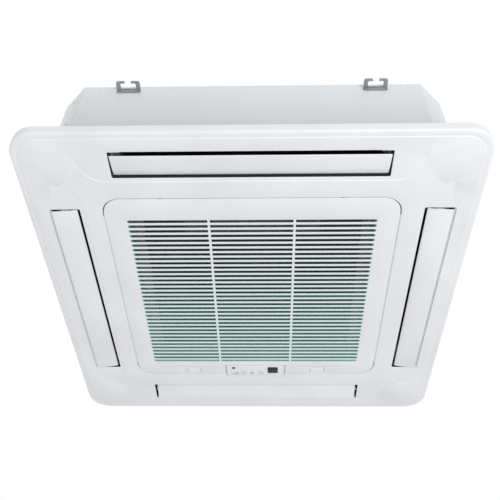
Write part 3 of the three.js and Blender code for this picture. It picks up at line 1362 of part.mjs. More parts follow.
// The board hangs on four posts, with its tall parts and the terminal block underneath.
function circuitBoard() {
  const y0 = BOX_Y0 + BOX_WALL + BOARD_MARGIN_Y;
  const y1 = BOX_Y1 - BOX_WALL - BOARD_MARGIN_Y;
  const roof = boxTop - BOX_WALL - GAP;
  const z1 = roof - BOARD_DROP;
  const z0 = z1 - BOARD_THICK;
  const partY0 = y0 + BOARD_PART_INSET;
  const partY1 = y1 - BOARD_PART_INSET;
  const terminalsX = TERMINALS_FROM_END - BOARD_HALF_X;
  const transformerX = BOARD_HALF_X - TRANSFORMER_FROM_END;
  const capacitorY = partY1 - CAPACITOR_R;
  const block = (x, width, depth, height) =>
    slab(x, x + width, partY0, partY0 + depth, z0 - height, z0 + 1);
  const post = (x, y) => rodZ(x, y, BOARD_POST_R, z1 - 1, roof, 6);
  return join(
    slab(-BOARD_HALF_X, BOARD_HALF_X, y0, y1, z0, z1),
    ...BOTH.flatMap((end) =>
      [y0 + BOARD_POST_INSET, y1 - BOARD_POST_INSET].map((y) =>
        post(end * (BOARD_HALF_X - BOARD_POST_INSET), y),
      ),
    ),
    block(terminalsX, TERMINALS_WIDTH, partY1 - partY0, TERMINALS_HEIGHT),
    block(RELAY_X - RELAY_SIDE / 2, RELAY_SIDE, RELAY_SIDE, RELAY_HEIGHT),
    block(transformerX - TRANSFORMER_WIDTH, TRANSFORMER_WIDTH, TRANSFORMER_DEPTH, TRANSFORMER_HEIGHT),
    rodZ(CAPACITOR_X, capacitorY, CAPACITOR_R, z0 - CAPACITOR_HEIGHT, z0 + 1),
  );
}

add("circuit_board", circuitBoard(), circuitGreen);

// ---------------------------------------------------------------- panel brackets and screws

// A strap under the drain pan, from the casing's cut corner to a nut that the panel's screw finds.
function panelBracket() {
  const boss = SCREW_XY * DIAGONAL;
  const outer = BODY_CORNER_REACH - SHEET - GAP;
  const half = STRAP_WIDTH / 2;
  return cut(
    join(
      slab(boss - 2 * STRAP_BOSS_R, outer, -half, half, STRAP_Z, STRAP_Z + STRAP_THICK),
      slab(outer - STRAP_THICK, outer, -half, half, STRAP_Z, STRAP_Z + STRAP_LEG),
      rodZ(boss, 0, STRAP_BOSS_R, STRAP_Z + 1, STRAP_BOSS_TOP),
    ),
    rodZ(boss, 0, SCREW_R + GAP, STRAP_Z - 1, STRAP_BOSS_TOP + 1),
  );
}

// Turned from the corner between right and far, round to the one between near and right.
["far_right", "far_left", "near_left", "near_right"].forEach((corner, quarter) => {
  const group = new THREE.Group();
  group.rotation.z = (quarter + 0.5) * QUARTER;
  unit.add(group);
  add("panel_bracket_" + corner, panelBracket(), galvanised, group);
  const headTop = TAB_TOP - TAB_THICK - GAP;
  const screw = join(
    rodZ(0, 0, SCREW_HEAD_R, headTop - SCREW_HEAD, headTop),
    rodZ(0, 0, SCREW_R, headTop - 1, SCREW_TOP, 8),
  );
  add("panel_screw_" + corner, screw, steel, group).position.set(SCREW_XY * DIAGONAL, 0, 0);
});

export default unit;
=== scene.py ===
import math

import bmesh
import bpy
from mathutils import Matrix, Vector


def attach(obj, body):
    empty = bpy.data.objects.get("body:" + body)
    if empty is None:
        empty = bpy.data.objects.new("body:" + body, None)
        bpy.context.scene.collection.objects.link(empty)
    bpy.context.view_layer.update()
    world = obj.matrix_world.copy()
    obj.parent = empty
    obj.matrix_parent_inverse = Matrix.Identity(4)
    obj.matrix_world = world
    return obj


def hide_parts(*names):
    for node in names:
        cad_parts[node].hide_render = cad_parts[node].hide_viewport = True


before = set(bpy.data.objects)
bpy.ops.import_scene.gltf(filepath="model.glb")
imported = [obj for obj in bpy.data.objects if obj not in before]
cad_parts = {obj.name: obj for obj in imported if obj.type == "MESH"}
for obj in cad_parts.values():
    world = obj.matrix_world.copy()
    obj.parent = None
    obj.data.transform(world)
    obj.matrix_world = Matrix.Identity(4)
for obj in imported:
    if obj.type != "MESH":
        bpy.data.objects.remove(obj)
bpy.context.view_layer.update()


# ---------------------------------------------------------------- the view and the light
# The unit hangs above the viewer, who looks up at it from under its hinged edge. A large soft lamp
# stands below, in front and to the right, and a weaker one above and behind. The floor lies well
# under both.

MM = 0.001
VIEW_PLACE = Vector((33.5, -1208.3, -1093.9)) * MM
VIEW_YAW, VIEW_PITCH, VIEW_ROLL = (math.radians(angle) for angle in (-2.11, 45.58, 1.28))
VIEW_LENS, VIEW_SENSOR = 48.47, 36
FLOOR_Z, FLOOR_REACH, FLOOR_SHADE, FLOOR_ROUGHNESS = -2.6, 9, 0.9, 0.9
AMBIENT = 0.63  # how strongly the white surroundings light the unit
LAMPS = [  # place and target in metres, side in metres, watts
    ((1.25, -2.1, -1.7), (0, 0, 0), 1.6, 37),
    ((-1.4, 1.6, 1.9), (0, 0, 0.1), 2.0, 26),
]

ahead = Vector((
    math.sin(VIEW_YAW) * math.cos(VIEW_PITCH),
    math.cos(VIEW_YAW) * math.cos(VIEW_PITCH),
    math.sin(VIEW_PITCH),
))
level = Vector((math.cos(VIEW_YAW), -math.sin(VIEW_YAW), 0))
upright = level.cross(ahead)
view_right = math.cos(VIEW_ROLL) * level + math.sin(VIEW_ROLL) * upright
view_up = math.cos(VIEW_ROLL) * upright - math.sin(VIEW_ROLL) * level
camera = bpy.data.objects.new("camera", bpy.data.cameras.new("camera"))
camera.data.sensor_width = VIEW_SENSOR
camera.data.lens = VIEW_LENS
camera_axes = Matrix((view_right, view_up, -ahead)).transposed()
camera.matrix_world = Matrix.Translation(VIEW_PLACE) @ camera_axes.to_4x4()
bpy.context.scene.collection.objects.link(camera)
bpy.context.scene.camera = camera
bpy.context.scene.view_settings.view_transform = "Standard"


def seen_white(tree, shader_node, level_elsewhere):
    """White for what the camera, gloss and glass see directly, and dimmer for the light on the object."""
    path = tree.nodes.new("ShaderNodeLightPath")
    seen = path.outputs["Is Camera Ray"]
    for ray in ("Is Glossy Ray", "Is Transmission Ray"):
        either = tree.nodes.new("ShaderNodeMath")
        either.operation = "MAXIMUM"
        tree.links.new(seen, either.inputs[0])
        tree.links.new(path.outputs[ray], either.inputs[1])
        seen = either.outputs[0]
    strength = tree.nodes.new("ShaderNodeMapRange")
    strength.inputs["To Min"].default_value = level_elsewhere
    strength.inputs["To Max"].default_value = 1
    tree.links.new(seen, strength.inputs["Value"])
    tree.links.new(strength.outputs[0], shader_node.inputs["Strength"])


world = bpy.data.worlds.new("plain_white")
world.use_nodes = True
bpy.context.scene.world = world
world.node_tree.nodes["Background"].inputs["Color"].default_value = (1, 1, 1, 1)
seen_white(world.node_tree, world.node_tree.nodes["Background"], AMBIENT)

for index, (place, target, side, watts) in enumerate(LAMPS):
    lamp = bpy.data.objects.new(f"soft_lamp_{index}", bpy.data.lights.new(f"soft_lamp_{index}", "AREA"))
    lamp.data.shape = "SQUARE"
    lamp.data.size = side
    lamp.data.energy = watts
    lamp.location = place
    lamp.rotation_euler = (Vector(target) - Vector(place)).to_track_quat("-Z", "Y").to_euler()
    lamp.visible_camera = False
    bpy.context.scene.collection.objects.link(lamp)

floor_mesh = bpy.data.meshes.new("floor")
floor_corners = [(x * FLOOR_REACH, y * FLOOR_REACH, FLOOR_Z) for x, y in ((-1, -1), (1, -1), (1, 1), (-1, 1))]
floor_mesh.from_pydata(floor_corners, [], [(0, 1, 2, 3)])
floor = bpy.data.objects.new("floor", floor_mesh)
bpy.context.scene.collection.objects.link(floor)
floor_paint = bpy.data.materials.new("pale_floor")
floor_paint.use_nodes = True
floor_inputs = floor_paint.node_tree.nodes["Principled BSDF"].inputs
floor_inputs["Base Color"].default_value = (FLOOR_SHADE, FLOOR_SHADE, FLOOR_SHADE, 1)
floor_inputs["Roughness"].default_value = FLOOR_ROUGHNESS
floor_mesh.materials.append(floor_paint)


# ---------------------------------------------------------------- decoration panel
# One white injection moulding: a flat face inside a slightly recessed rim, a rounded lip up to the
# ceiling, a shallow pad round each outlet, and walls and ribs behind. It screws up to the body.

PANEL_HALF = 475
PANEL_CORNER = 55
FACE_Z = -24
RIM_Z = -22.5
RIM_WIDTH = 14
SKIN = 3
LIP_RADIUS = 5.5
OUTLET_OUTER, OUTLET_INNER = 429, 363.5
OUTLET_HALF_LENGTH = 281
PAD_INNER, PAD_HALF_LENGTH, PAD_CORNER = 354, 350, 60
PAD_DEPTH = 1.3  # at its inner edge, running out at the rim
DUCT_WALL = 2.5
OPENING_X, OPENING_Y, OPENING_CORNER = 315.8, 310.8, 41.3
NOTCH_X, NOTCH_Y = 77, 325.3  # where the display strip reaches into the panel
HINGE_X, HINGE_Y, HINGE_Z = 190, -319.3, -18
WINDOW_HALF, WINDOW_LOW, WINDOW_HIGH = 4.6, -20.3, -4.7
SCREW_XY = 283
SIDES = ("near", "right", "far", "left")


def srgb(*levels):
    """A colour written in the 0 to 255 levels of a screen, as the shader takes it."""
    linear = [((c / 255 + 0.055) / 1.055) ** 2.4 if c > 10 else c / 255 / 12.92 for c in levels]
    return (*linear, 1)


class Value:
    """A number in a finish's node tree. Python's operators on it add Math nodes."""

    def __init__(self, finish, socket):
        self.finish = finish
        self.socket = socket

    def math(self, operation, a, b=0.0):
        return self.finish.node("ShaderNodeMath", {"operation": operation}, {0: a, 1: b})

    def __add__(self, other):
        return self.math("ADD", self, other)

    def __rsub__(self, other):
        return self.math("SUBTRACT", other, self)

    def __mul__(self, other):
        return self.math("MULTIPLY", self, other)

    def __gt__(self, other):
        return self.math("GREATER_THAN", self, other)

    __radd__ = __add__
    __rmul__ = __mul__


class Finish:
    """A surface's node tree. Patterns lie on the object's own coordinates, and sizes are in millimetres."""

    def __init__(self, name, roughness=0.5, metallic=0.0, **constants):
        self.material = bpy.data.materials.new(name)
        self.material.use_nodes = True
        self.tree = self.material.node_tree
        self.shader = self.tree.nodes["Principled BSDF"]
        self.shader.inputs["Roughness"].default_value = roughness
        self.shader.inputs["Metallic"].default_value = metallic
        for socket, value in constants.items():
            self.shader.inputs[socket.replace("_", " ").title()].default_value = value
        self.place = self.node("ShaderNodeTexCoord", output="Object")

    def node(self, kind, settings=None, inputs=None, output=0):
        """Adds a node and gives one of its outputs. An input is a constant or another node's output."""
        made = self.tree.nodes.new(kind)
        for name, value in (settings or {}).items():
            if name == "stops":
                for stop, (position, colour) in zip(made.color_ramp.elements, value):
                    stop.position = position
                    stop.color = colour
            else:
                setattr(made, name, value)
        for socket, value in (inputs or {}).items():
            if isinstance(value, Value):
                self.tree.links.new(value.socket, made.inputs[socket])
            else:
                made.inputs[socket].default_value = value
        return Value(self, made.outputs[output])

    def feed(self, socket, value):
        """Leads a pattern into a socket of the surface's shader."""
        self.tree.links.new(value.socket, self.shader.inputs[socket])

    def at_scale(self, size, stretch=(1, 1, 1)):
        """The place on the object, in steps of size millimetres, drawn out along an axis by stretch."""
        per_metre = [1 / (size * MM * s) for s in stretch]
        return self.node("ShaderNodeVectorMath", {"operation": "MULTIPLY"}, {0: self.place, 1: per_metre})

    def noise(self, size, stretch=(1, 1, 1), detail=2.0):
        """A soft random pattern whose patches are about size millimetres across."""
        spot = self.at_scale(size, stretch)
        return self.node("ShaderNodeTexNoise", None, {"Vector": spot, "Scale": 1.0, "Detail": detail})

    def along(self, axis, size):
        """How far out the place is along an axis, in steps of size millimetres."""
        return self.node("ShaderNodeSeparateXYZ", None, {0: self.at_scale(size)}, output=axis)

    def mix(self, a, b, share):
        """The first colour where share is 0, the second where it is 1."""
        return self.node("ShaderNodeMix", {"data_type": "RGBA"}, {0: share, 6: a, 7: b}, output=2)

    def ramp(self, share, low, high):
        """Spreads what lies between low and high over 0 to 1."""
        stops = [(low, (0, 0, 0, 1)), (high, (1, 1, 1, 1))]
        return self.node("ShaderNodeValToRGB", {"stops": stops}, {0: share})

    def bump(self, height, depth, strength=1.0):
        """Small relief, depth millimetres high."""
        inputs = {"Height": height, "Distance": depth * MM, "Strength": strength}
        self.feed("Normal", self.node("ShaderNodeBump", None, inputs))


def moulded_plastic(name, colour, roughness, drift=0.035, grain=0.02):
    """Moulded plastic: a fine spark-eroded grain, and a slow drift in shade and gloss."""
    finish = Finish(name, roughness)
    slow = finish.noise(160)
    darker = [c * (1 - drift) for c in colour[:3]] + [1]
    lighter = [min(1, c * (1 + drift)) for c in colour[:3]] + [1]
    finish.feed("Base Color", finish.mix(darker, lighter, finish.ramp(slow, 0.3, 0.7)))
    finish.feed("Roughness", roughness - 0.06 + 0.12 * slow)
    finish.bump(finish.noise(0.7) + 0.6 * finish.noise(2.2), grain, 0.6)
    return finish.material


def rounded(half_x, half_y, r, x=0.0, y=0.0, steps=10):
    """Plan of a rounded rectangle, counter-clockwise from the foot of its near right corner."""
    points = []
    for sign_x, sign_y, start in ((1, -1, -90), (1, 1, 0), (-1, 1, 90), (-1, -1, 180)):
        for step in range(steps + 1):
            angle = math.radians(start + 90 * step / steps)
            across = x + sign_x * (half_x - r) + r * math.cos(angle)
            points.append((across, y + sign_y * (half_y - r) + r * math.sin(angle)))
    return points


def arc(x, y, r, start, end, steps):
    """Points on a plan's arc, the angles in degrees."""
    angles = [math.radians(start + (end - start) * i / steps) for i in range(steps + 1)]
    return [(x + r * math.cos(a), y + r * math.sin(a)) for a in angles]


def circle(r, steps, x=0.0, y=0.0):
    """A round plan."""
    return arc(x, y, r, 0, 360 - 360 / steps, steps - 1)


def quarter_turned(points, quarter):
    """Points of the near side, turned about Z to another side."""
    turn = Matrix.Rotation(quarter * math.pi / 2, 3, "Z")
    return [turn @ Vector(p) for p in points]


class Shell:
    """A mesh in the making, in millimetres: loops of points, bands between them and flat fills."""

    def __init__(self):
        self.bm = bmesh.new()

    def loop(self, plan, z, quarter=0):
        """A closed loop from a plan, at one height or at z(x, y), on one side of the unit."""
        points = [(p[0], p[1], z(*p[:2]) if callable(z) else z) for p in plan]
        return [self.bm.verts.new(p) for p in quarter_turned(points, quarter)]

    def band(self, *loops, skip=(), closed=True):
        """Walls from each loop to the next, which has as many points, but for the stretches in skip."""
        for a, b in zip(loops, loops[1:]):
            count = len(a) if closed else len(a) - 1
            for i in range(count):
                if i not in skip:
                    j = (i + 1) % len(a)
                    self.bm.faces.new((a[i], a[j], b[j], b[i]))
        return loops[-1]

    def fill(self, *loops):
        """A face with the first loop as its border and the others as its holes."""
        edges = []
        for loop in loops:
            for a, b in zip(loop, loop[1:] + loop[:1]):
                edges.append(self.bm.edges.get((a, b)) or self.bm.edges.new((a, b)))
        bmesh.ops.triangle_fill(self.bm, edges=edges, use_beauty=True)

    def prism(self, plan, z0, z1, edge=0.0, holes=(), quarter=0):
        """A closed plate with upright walls, its edges rounded off by about edge where it has no holes."""
        foot, head = self.loop(plan, z0, quarter), self.loop(plan, z1, quarter)
        inner = [(self.loop(hole, z0, quarter), self.loop(hole, z1, quarter)) for hole in holes]
        self.band(foot, head)
        for low, high in inner:
            self.band(low, high)
        self.fill(foot, *(low for low, high in inner))
        self.fill(head, *(high for low, high in inner))
        if edge:
            rim = [e for e in self.bm.edges if e.verts[0] in foot + head and e.verts[1] in foot + head]
            bmesh.ops.bevel(self.bm, geom=rim, offset=edge, segments=2, affect="EDGES", clamp_overlap=True)

    def block(self, x0, x1, y0, y1, z0, z1, edge=0.4, quarter=0, segments=2):
        """A box with rounded edges."""
        made = bmesh.ops.create_cube(self.bm, size=1)["verts"]
        for v in made:
            v.co = Vector((
                x0 if v.co.x < 0 else x1,
                y0 if v.co.y < 0 else y1,
                z0 if v.co.z < 0 else z1,
            ))
            v.co = Matrix.Rotation(quarter * math.pi / 2, 3, "Z") @ v.co
        if edge:
            rim = list({e for v in made for e in v.link_edges})
            bmesh.ops.bevel(
                self.bm, geom=rim, offset=edge, segments=segments, affect="EDGES", clamp_overlap=True
            )

    def turned(self, profile, x=0.0, y=0.0, axis="Z", steps=48, closed=True):
        """A profile of (radius, height) points turned about an upright or level axis, which passes
        through x and y of the two other directions. A profile that isn't closed starts and ends on it."""
        rings = []
        for r, h in profile:
            count = steps if r > 0 else 1
            ring = []
            for i in range(count):
                a = 2 * math.pi * i / steps
                place = (r * math.cos(a), r * math.sin(a), h)
                if axis == "X":
                    place = (place[2], place[0], place[1])
                if axis == "Y":
                    place = (place[1], place[2], place[0])
                ring.append(self.bm.verts.new(place))
            rings.append(ring)
        following = rings[1:] + rings[:1] if closed else rings[1:]
        for a, b in zip(rings, following):
            for i in range(steps):
                corners = [a[i % len(a)], a[(i + 1) % len(a)], b[(i + 1) % len(b)], b[i % len(b)]]
                unique = list(dict.fromkeys(corners))
                if len(unique) > 2:
                    self.bm.faces.new(unique)
        offset = {"X": (0, x, y), "Y": (x, 0, y), "Z": (x, y, 0)}[axis]
        bmesh.ops.translate(self.bm, verts=[v for ring in rings for v in ring], vec=offset)

    def piece(self, name, material, body, *nodes, slot=None, sharp=32, turn=None, place=(0, 0, 0)):
        """Ends the mesh as an object that rides on a body, and stands for CAD nodes if it names any."""
        bmesh.ops.recalc_face_normals(self.bm, faces=self.bm.faces)
        if turn is not None:
            bmesh.ops.transform(self.bm, matrix=turn.to_4x4(), verts=self.bm.verts)
        bmesh.ops.translate(self.bm, verts=self.bm.verts, vec=place)
        bmesh.ops.scale(self.bm, verts=self.bm.verts, vec=(MM, MM, MM))
        mesh = bpy.data.meshes.new(name)
        self.bm.to_mesh(mesh)
        self.bm.free()
        return fitted(name, mesh, material, body, *nodes, slot=slot, sharp=sharp)


def fitted(name, mesh, material, body, *nodes, slot=None, sharp=32):
    """An object from a finished mesh: smooth but for its sharp edges, and riding on its body."""
    mesh.name = name
    mesh.materials.clear()
    mesh.materials.append(material)
    mesh.shade_smooth()
    mesh.set_sharp_from_angle(angle=math.radians(sharp))
    made = bpy.data.objects.new(name, mesh)
    bpy.context.scene.collection.objects.link(made)
    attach(made, body)
    if nodes:
        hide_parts(*nodes)
    return made


white_plastic = moulded_plastic("white_panel_plastic", srgb(238, 240, 243), 0.42)


def panel_outline(inset):
    """The panel's plan. Its corners tighten by half of what the sides come in."""
    half = PANEL_HALF - inset
    return rounded(half, half, PANEL_CORNER - inset / 2, steps=16)


def pad_height(x, y):
    """The pad of the near side slopes from its depth at the inner edge out to the face at the rim."""
    share = (abs(y) - PAD_INNER) / (PANEL_HALF - RIM_WIDTH - 2 - PAD_INNER)
    return FACE_Z + PAD_DEPTH * max(0.0, 1 - max(0.0, share))


def pad_outline(inset):
    """Straight beside the rim, with wide round corners inside."""
    half, inner, r = PAD_HALF_LENGTH - inset, -PAD_INNER - inset, PAD_CORNER - inset
    outer = -(PANEL_HALF - RIM_WIDTH - 2.6) + inset
    right = arc(half - r, inner - r, r, 0, 90, 14)
    left = arc(-half + r, inner - r, r, 90, 180, 14)
    return [(-half, outer), (half, outer), *right, *left]


def outlet_outline(grow):
    """The plan of the near side's outlet, or of a line round it."""
    middle = -(OUTLET_OUTER + OUTLET_INNER) / 2
    half_y = (OUTLET_OUTER - OUTLET_INNER) / 2
    return rounded(OUTLET_HALF_LENGTH + grow, half_y + grow, 3 + grow, y=middle, steps=4)


def opening_outline(grow):
    """The door's opening with the display strip's notch. It starts with the edges of the two windows
    that the hinge arms reach through, so segments 0 and 2 are the windows."""
    half_x, half_y, r = OPENING_X + grow, OPENING_Y + grow, OPENING_CORNER + grow
    near = [(end * HINGE_X + side * WINDOW_HALF, -half_y) for end in (-1, 1) for side in (-1, 1)]
    return [
        *near,
        *arc(half_x - r, -half_y + r, r, -90, 0, 12),
        *arc(half_x - r, half_y - r, r, 0, 90, 12),
        (NOTCH_X + grow, half_y),
        (NOTCH_X + grow, NOTCH_Y + grow),
        (-NOTCH_X - grow, NOTCH_Y + grow),
        (-NOTCH_X - grow, half_y),
        *arc(-half_x + r, half_y - r, r, 90, 180, 12),
        *arc(-half_x + r, -half_y + r, r, 180, 270, 12),
    ]


panel = Shell()
fillet = [(LIP_RADIUS * (1 - math.cos(a)), RIM_Z + LIP_RADIUS * (1 - math.sin(a)))
          for a in (math.radians(d) for d in range(0, 91, 15))]
rim_inner = RIM_WIDTH + 0.2
lip = [(0, 0), *fillet, (rim_inner - 0.6, RIM_Z), (rim_inner - 0.2, RIM_Z + 0.1), (rim_inner, RIM_Z)]
step_down = [(rim_inner + 0.3, RIM_Z - 0.7), (rim_inner + 0.8, FACE_Z + 0.25), (rim_inner + 1.5, FACE_Z)]
outside = [panel.loop(panel_outline(inset), z) for inset, z in lip + step_down]
panel.band(*outside)
pads = []
for quarter in range(4):
    edge = panel.loop(pad_outline(0), FACE_Z, quarter)
    rounding = panel.loop(pad_outline(0.25), lambda x, y: FACE_Z + 0.2 * (pad_height(x, y) - FACE_Z), quarter)
    inset_edge = panel.loop(pad_outline(0.9), pad_height, quarter)
    panel.band(edge, rounding, inset_edge)
    pads.append(edge)
    mouth = [
        panel.loop(outlet_outline(grow), lambda x, y, up=up: pad_height(x, y) + up, quarter)
        for grow, up in ((1.6, 0), (0.8, 0.15), (0.2, 0.7), (0, 1.4))
    ]
    panel.fill(inset_edge, mouth[0])
    duct_head = panel.loop(outlet_outline(0), 0, quarter)
    duct_outer = panel.loop(outlet_outline(DUCT_WALL), 0, quarter)
    duct_foot = panel.loop(outlet_outline(DUCT_WALL), FACE_Z + SKIN, quarter)
    panel.band(*mouth, duct_head, duct_outer, duct_foot)
    pads.append(duct_foot)
door_edge = [
    panel.loop(opening_outline(grow), z)
    for grow, z in ((1.7, FACE_Z), (0.8, FACE_Z + 0.2), (0.2, FACE_Z + 0.8), (0, FACE_Z + 1.6))
]
inner_wall = [panel.loop(opening_outline(0), z) for z in (WINDOW_LOW, WINDOW_HIGH, 0)]
outer_wall = [panel.loop(opening_outline(DUCT_WALL), z) for z in (0, WINDOW_HIGH, WINDOW_LOW, FACE_Z + SKIN)]
windows = (0, 2)
panel.band(*door_edge, inner_wall[0])
panel.band(*inner_wall[:2], skip=windows)
panel.band(*inner_wall[1:], *outer_wall[:2])
panel.band(*outer_wall[1:3], skip=windows)
panel.band(*outer_wall[2:])
for i in windows:
    low, high = (inner_wall[0], outer_wall[2]), (inner_wall[1], outer_wall[1])
    for inner, outer in (low, high):
        panel.bm.faces.new((inner[i], inner[i + 1], outer[i + 1], outer[i]))
    for k in (i, i + 1):
        panel.bm.faces.new((low[0][k], low[1][k], high[1][k], high[0][k]))
panel.fill(outside[-1], *pads[0::2], door_edge[0])
back_rim = [
    panel.loop(panel_outline(inset), z)
    for inset, z in (
        (0, 0),
        (SKIN, 0),
        (SKIN, RIM_Z + SKIN + 2),
        (SKIN + 2, RIM_Z + SKIN),
        (RIM_WIDTH + SKIN, RIM_Z + SKIN),
        (RIM_WIDTH + SKIN, FACE_Z + SKIN),
    )
]
panel.band(*back_rim)
panel.fill(back_rim[-1], *pads[1::2], outer_wall[-1])
bmesh.ops.remove_doubles(panel.bm, verts=panel.bm.verts, dist=0.001)

# Small parts behind the face: stops that close the gap beside the vanes, at the ends of the near and
# far outlets and along the whole of the others, ledges beside the door, lugs for its hinge pins, tabs
# for the screws, and a rib in each corner.

STOP_LENGTH, STOP_DEPTH, STOP_HEIGHT = 24, 2.8, 9
LEDGE_END, LEDGE_Z0, LEDGE_Z1 = 262, FACE_Z + 3, FACE_Z + 4.5
RIB_THICK = 2.5
for quarter, side in enumerate(SIDES):
    stop_length = STOP_LENGTH if side in ("near", "far") else OUTLET_HALF_LENGTH + 1
    for end in (-1, 1):
        ends = sorted((end * (OUTLET_HALF_LENGTH - stop_length), end * (OUTLET_HALF_LENGTH + 1)))
        y0, z0 = -OUTLET_OUTER, FACE_Z + SKIN
        panel.block(*ends, y0 - 1, y0 + STOP_DEPTH, z0, z0 + STOP_HEIGHT, 0.5, quarter)
for end in (-1, 1):
    ends = sorted((end * (OPENING_X - 1.9), end * (OPENING_X + 1)))
    panel.block(*ends, -LEDGE_END, LEDGE_END, LEDGE_Z0, LEDGE_Z1, 0.4)
LUG_INNER, LUG_OUTER, LUG_R = 4, 7, 2.7
for end in (-1, 1):
    for side in (-1, 1):
        ends = sorted((end * HINGE_X + side * LUG_INNER, end * HINGE_X + side * LUG_OUTER))
        panel.block(*ends, HINGE_Y - LUG_R, HINGE_Y + LUG_R, FACE_Z + SKIN - 1, HINGE_Z + LUG_R, 0.6)
TAB_TOP, TAB_THICK, TAB_MARGIN = 1.7, 3, 18
tab_x, tab_y = OPENING_X + 1.2, OPENING_Y + 1.2
tab_sum = 2 * SCREW_XY - TAB_MARGIN
for sign_x in (-1, 1):
    for sign_y in (-1, 1):
        corner = [(tab_x, tab_sum - tab_x), (tab_x, tab_y), (tab_sum - tab_y, tab_y)]
        plan = [(sign_x * x, sign_y * y) for x, y in corner]
        hole = circle(3, 24, sign_x * SCREW_XY, sign_y * SCREW_XY)
        panel.prism(plan, TAB_TOP - TAB_THICK, TAB_TOP, holes=[hole])
rib_from = math.hypot(OPENING_X - 39, OPENING_Y - 39) + 39
rib_to = (PANEL_HALF - PANEL_CORNER) * math.sqrt(2) + PANEL_CORNER - 1.5
for quarter in range(4):
    ribs = (-RIB_THICK / 2, RIB_THICK / 2, FACE_Z + SKIN - 1, -TAB_THICK)
    panel.block(rib_from, rib_to, *ribs, 0.4, quarter + 0.5)
panel.piece("decoration_panel", white_plastic, "unit", "panel_frame", slot="white_plastic")


# ---------------------------------------------------------------- foam tape and gaskets
# A dark foam tape lines the inner wall and the ends of each outlet, against condensation, and a foam
# gasket on top of each outlet's duct closes it against the foot of the body.

TAPE_THICK = 0.8
GASKET_Z0, GASKET_Z1 = 0.05, 3.9  # just under the body's foot
GASKET_EDGE = 422  # it reaches in under the body from outside

dark_foam = Finish("dark_foam_tape", 0.95)
dark_foam.feed("Base Color", dark_foam.mix(srgb(30, 31, 33), srgb(46, 47, 49), dark_foam.noise(2)))
dark_foam.bump(dark_foam.noise(1.2), 0.1, 0.6)
tape = Shell()
for quarter in range(4):
    x0, x1 = OUTLET_HALF_LENGTH - TAPE_THICK, OUTLET_HALF_LENGTH + 0.2
    y0, y1 = -OUTLET_INNER - TAPE_THICK, -OUTLET_INNER + 0.2
    tape.block(-x0, x0, y0, y1, FACE_Z + 2.6, -0.5, 0.2, quarter)
    for end in (-1, 1):
        tape.block(*sorted((end * x0, end * x1)), 3 - OUTLET_OUTER, y0, FACE_Z + 2.2, -0.5, 0.2, quarter)
tape.piece("outlet_tape", dark_foam.material, "unit", slot="grey_foam")
gasket = Shell()
air_way = rounded(
    OUTLET_HALF_LENGTH + 0.2,
    (GASKET_EDGE - OUTLET_INNER + 0.2) / 2,
    3,
    y=-(GASKET_EDGE + OUTLET_INNER - 0.2) / 2,
    steps=4,
)
for quarter in range(4):
    gasket.prism(outlet_outline(DUCT_WALL), GASKET_Z0, GASKET_Z1, holes=[air_way], quarter=quarter)
gasket.piece("duct_gaskets", dark_foam.material, "unit", slot="grey_foam")


# ---------------------------------------------------------------- air vanes and their motors
# One long moulded blade closes each outlet. It turns on a pin at its left end and on the shaft of a
# small geared stepper motor at its right end, which clips to the outside of the air duct.

VANE_Y, VANE_Z = -396.25, -10.5
VANE_END, BOSS_LENGTH, BOSS_R, BORE_R, VANE_PIN_R = 279.5, 11, 5.5, 2.6, 3
VANE_OUTER_REACH, VANE_BOTTOM, VANE_THICK, VANE_CURL = 29, -13.5, 2.4, 3
VANES = {  # how far open it stands at rest in degrees, its reach inwards, and half its blade's length
    "near": (10, 28, 277.2),
    "right": (4, 25.8, 277.2),
    "far": (10, 28, 274.8),
    "left": (4, 25.8, 277.2),
}
STEPPER_R, STEPPER_LENGTH = 10, 15

vane_plastic = moulded_plastic("vane_plastic", srgb(238, 240, 243), 0.38)
stepper_plastic = moulded_plastic("stepper_plastic", srgb(206, 208, 205), 0.5)


def vane_section(shrink, reach):
    """The blade's closed section about its pivot: flat, then curled up to the inner edge."""
    half = VANE_THICK / 2 - shrink
    middle = VANE_BOTTOM + VANE_THICK / 2

    def cap(y, z, start):
        """The rounded edge at one end of the section."""
        angles = [math.radians(start + 30 * k) for k in range(1, 6)]
        return [(y + half * math.cos(a), middle + z + half * math.sin(a)) for a in angles]

    spine = [(-VANE_OUTER_REACH + VANE_THICK / 2, 0.0), (-14, 0.0), (0, 0.0)]
    spine += [((reach - VANE_THICK / 2) * s, VANE_CURL * s * s) for s in (0.2, 0.4, 0.6, 0.8, 1.0)]
    low, high = [], []
    for i, (y, z) in enumerate(spine):
        before, after = spine[max(0, i - 1)], spine[min(len(spine) - 1, i + 1)]
        way = Vector((after[0] - before[0], after[1] - before[1])).normalized()
        normal = Vector((way.y, -way.x)) * half
        low.append((y + normal.x, middle + z + normal.y))
        high.append((y - normal.x, middle + z - normal.y))
    slope = math.degrees(math.atan2(2 * VANE_CURL, reach))
    return low + cap(*spine[-1], -90 + slope) + high[::-1] + cap(*spine[0], 90)


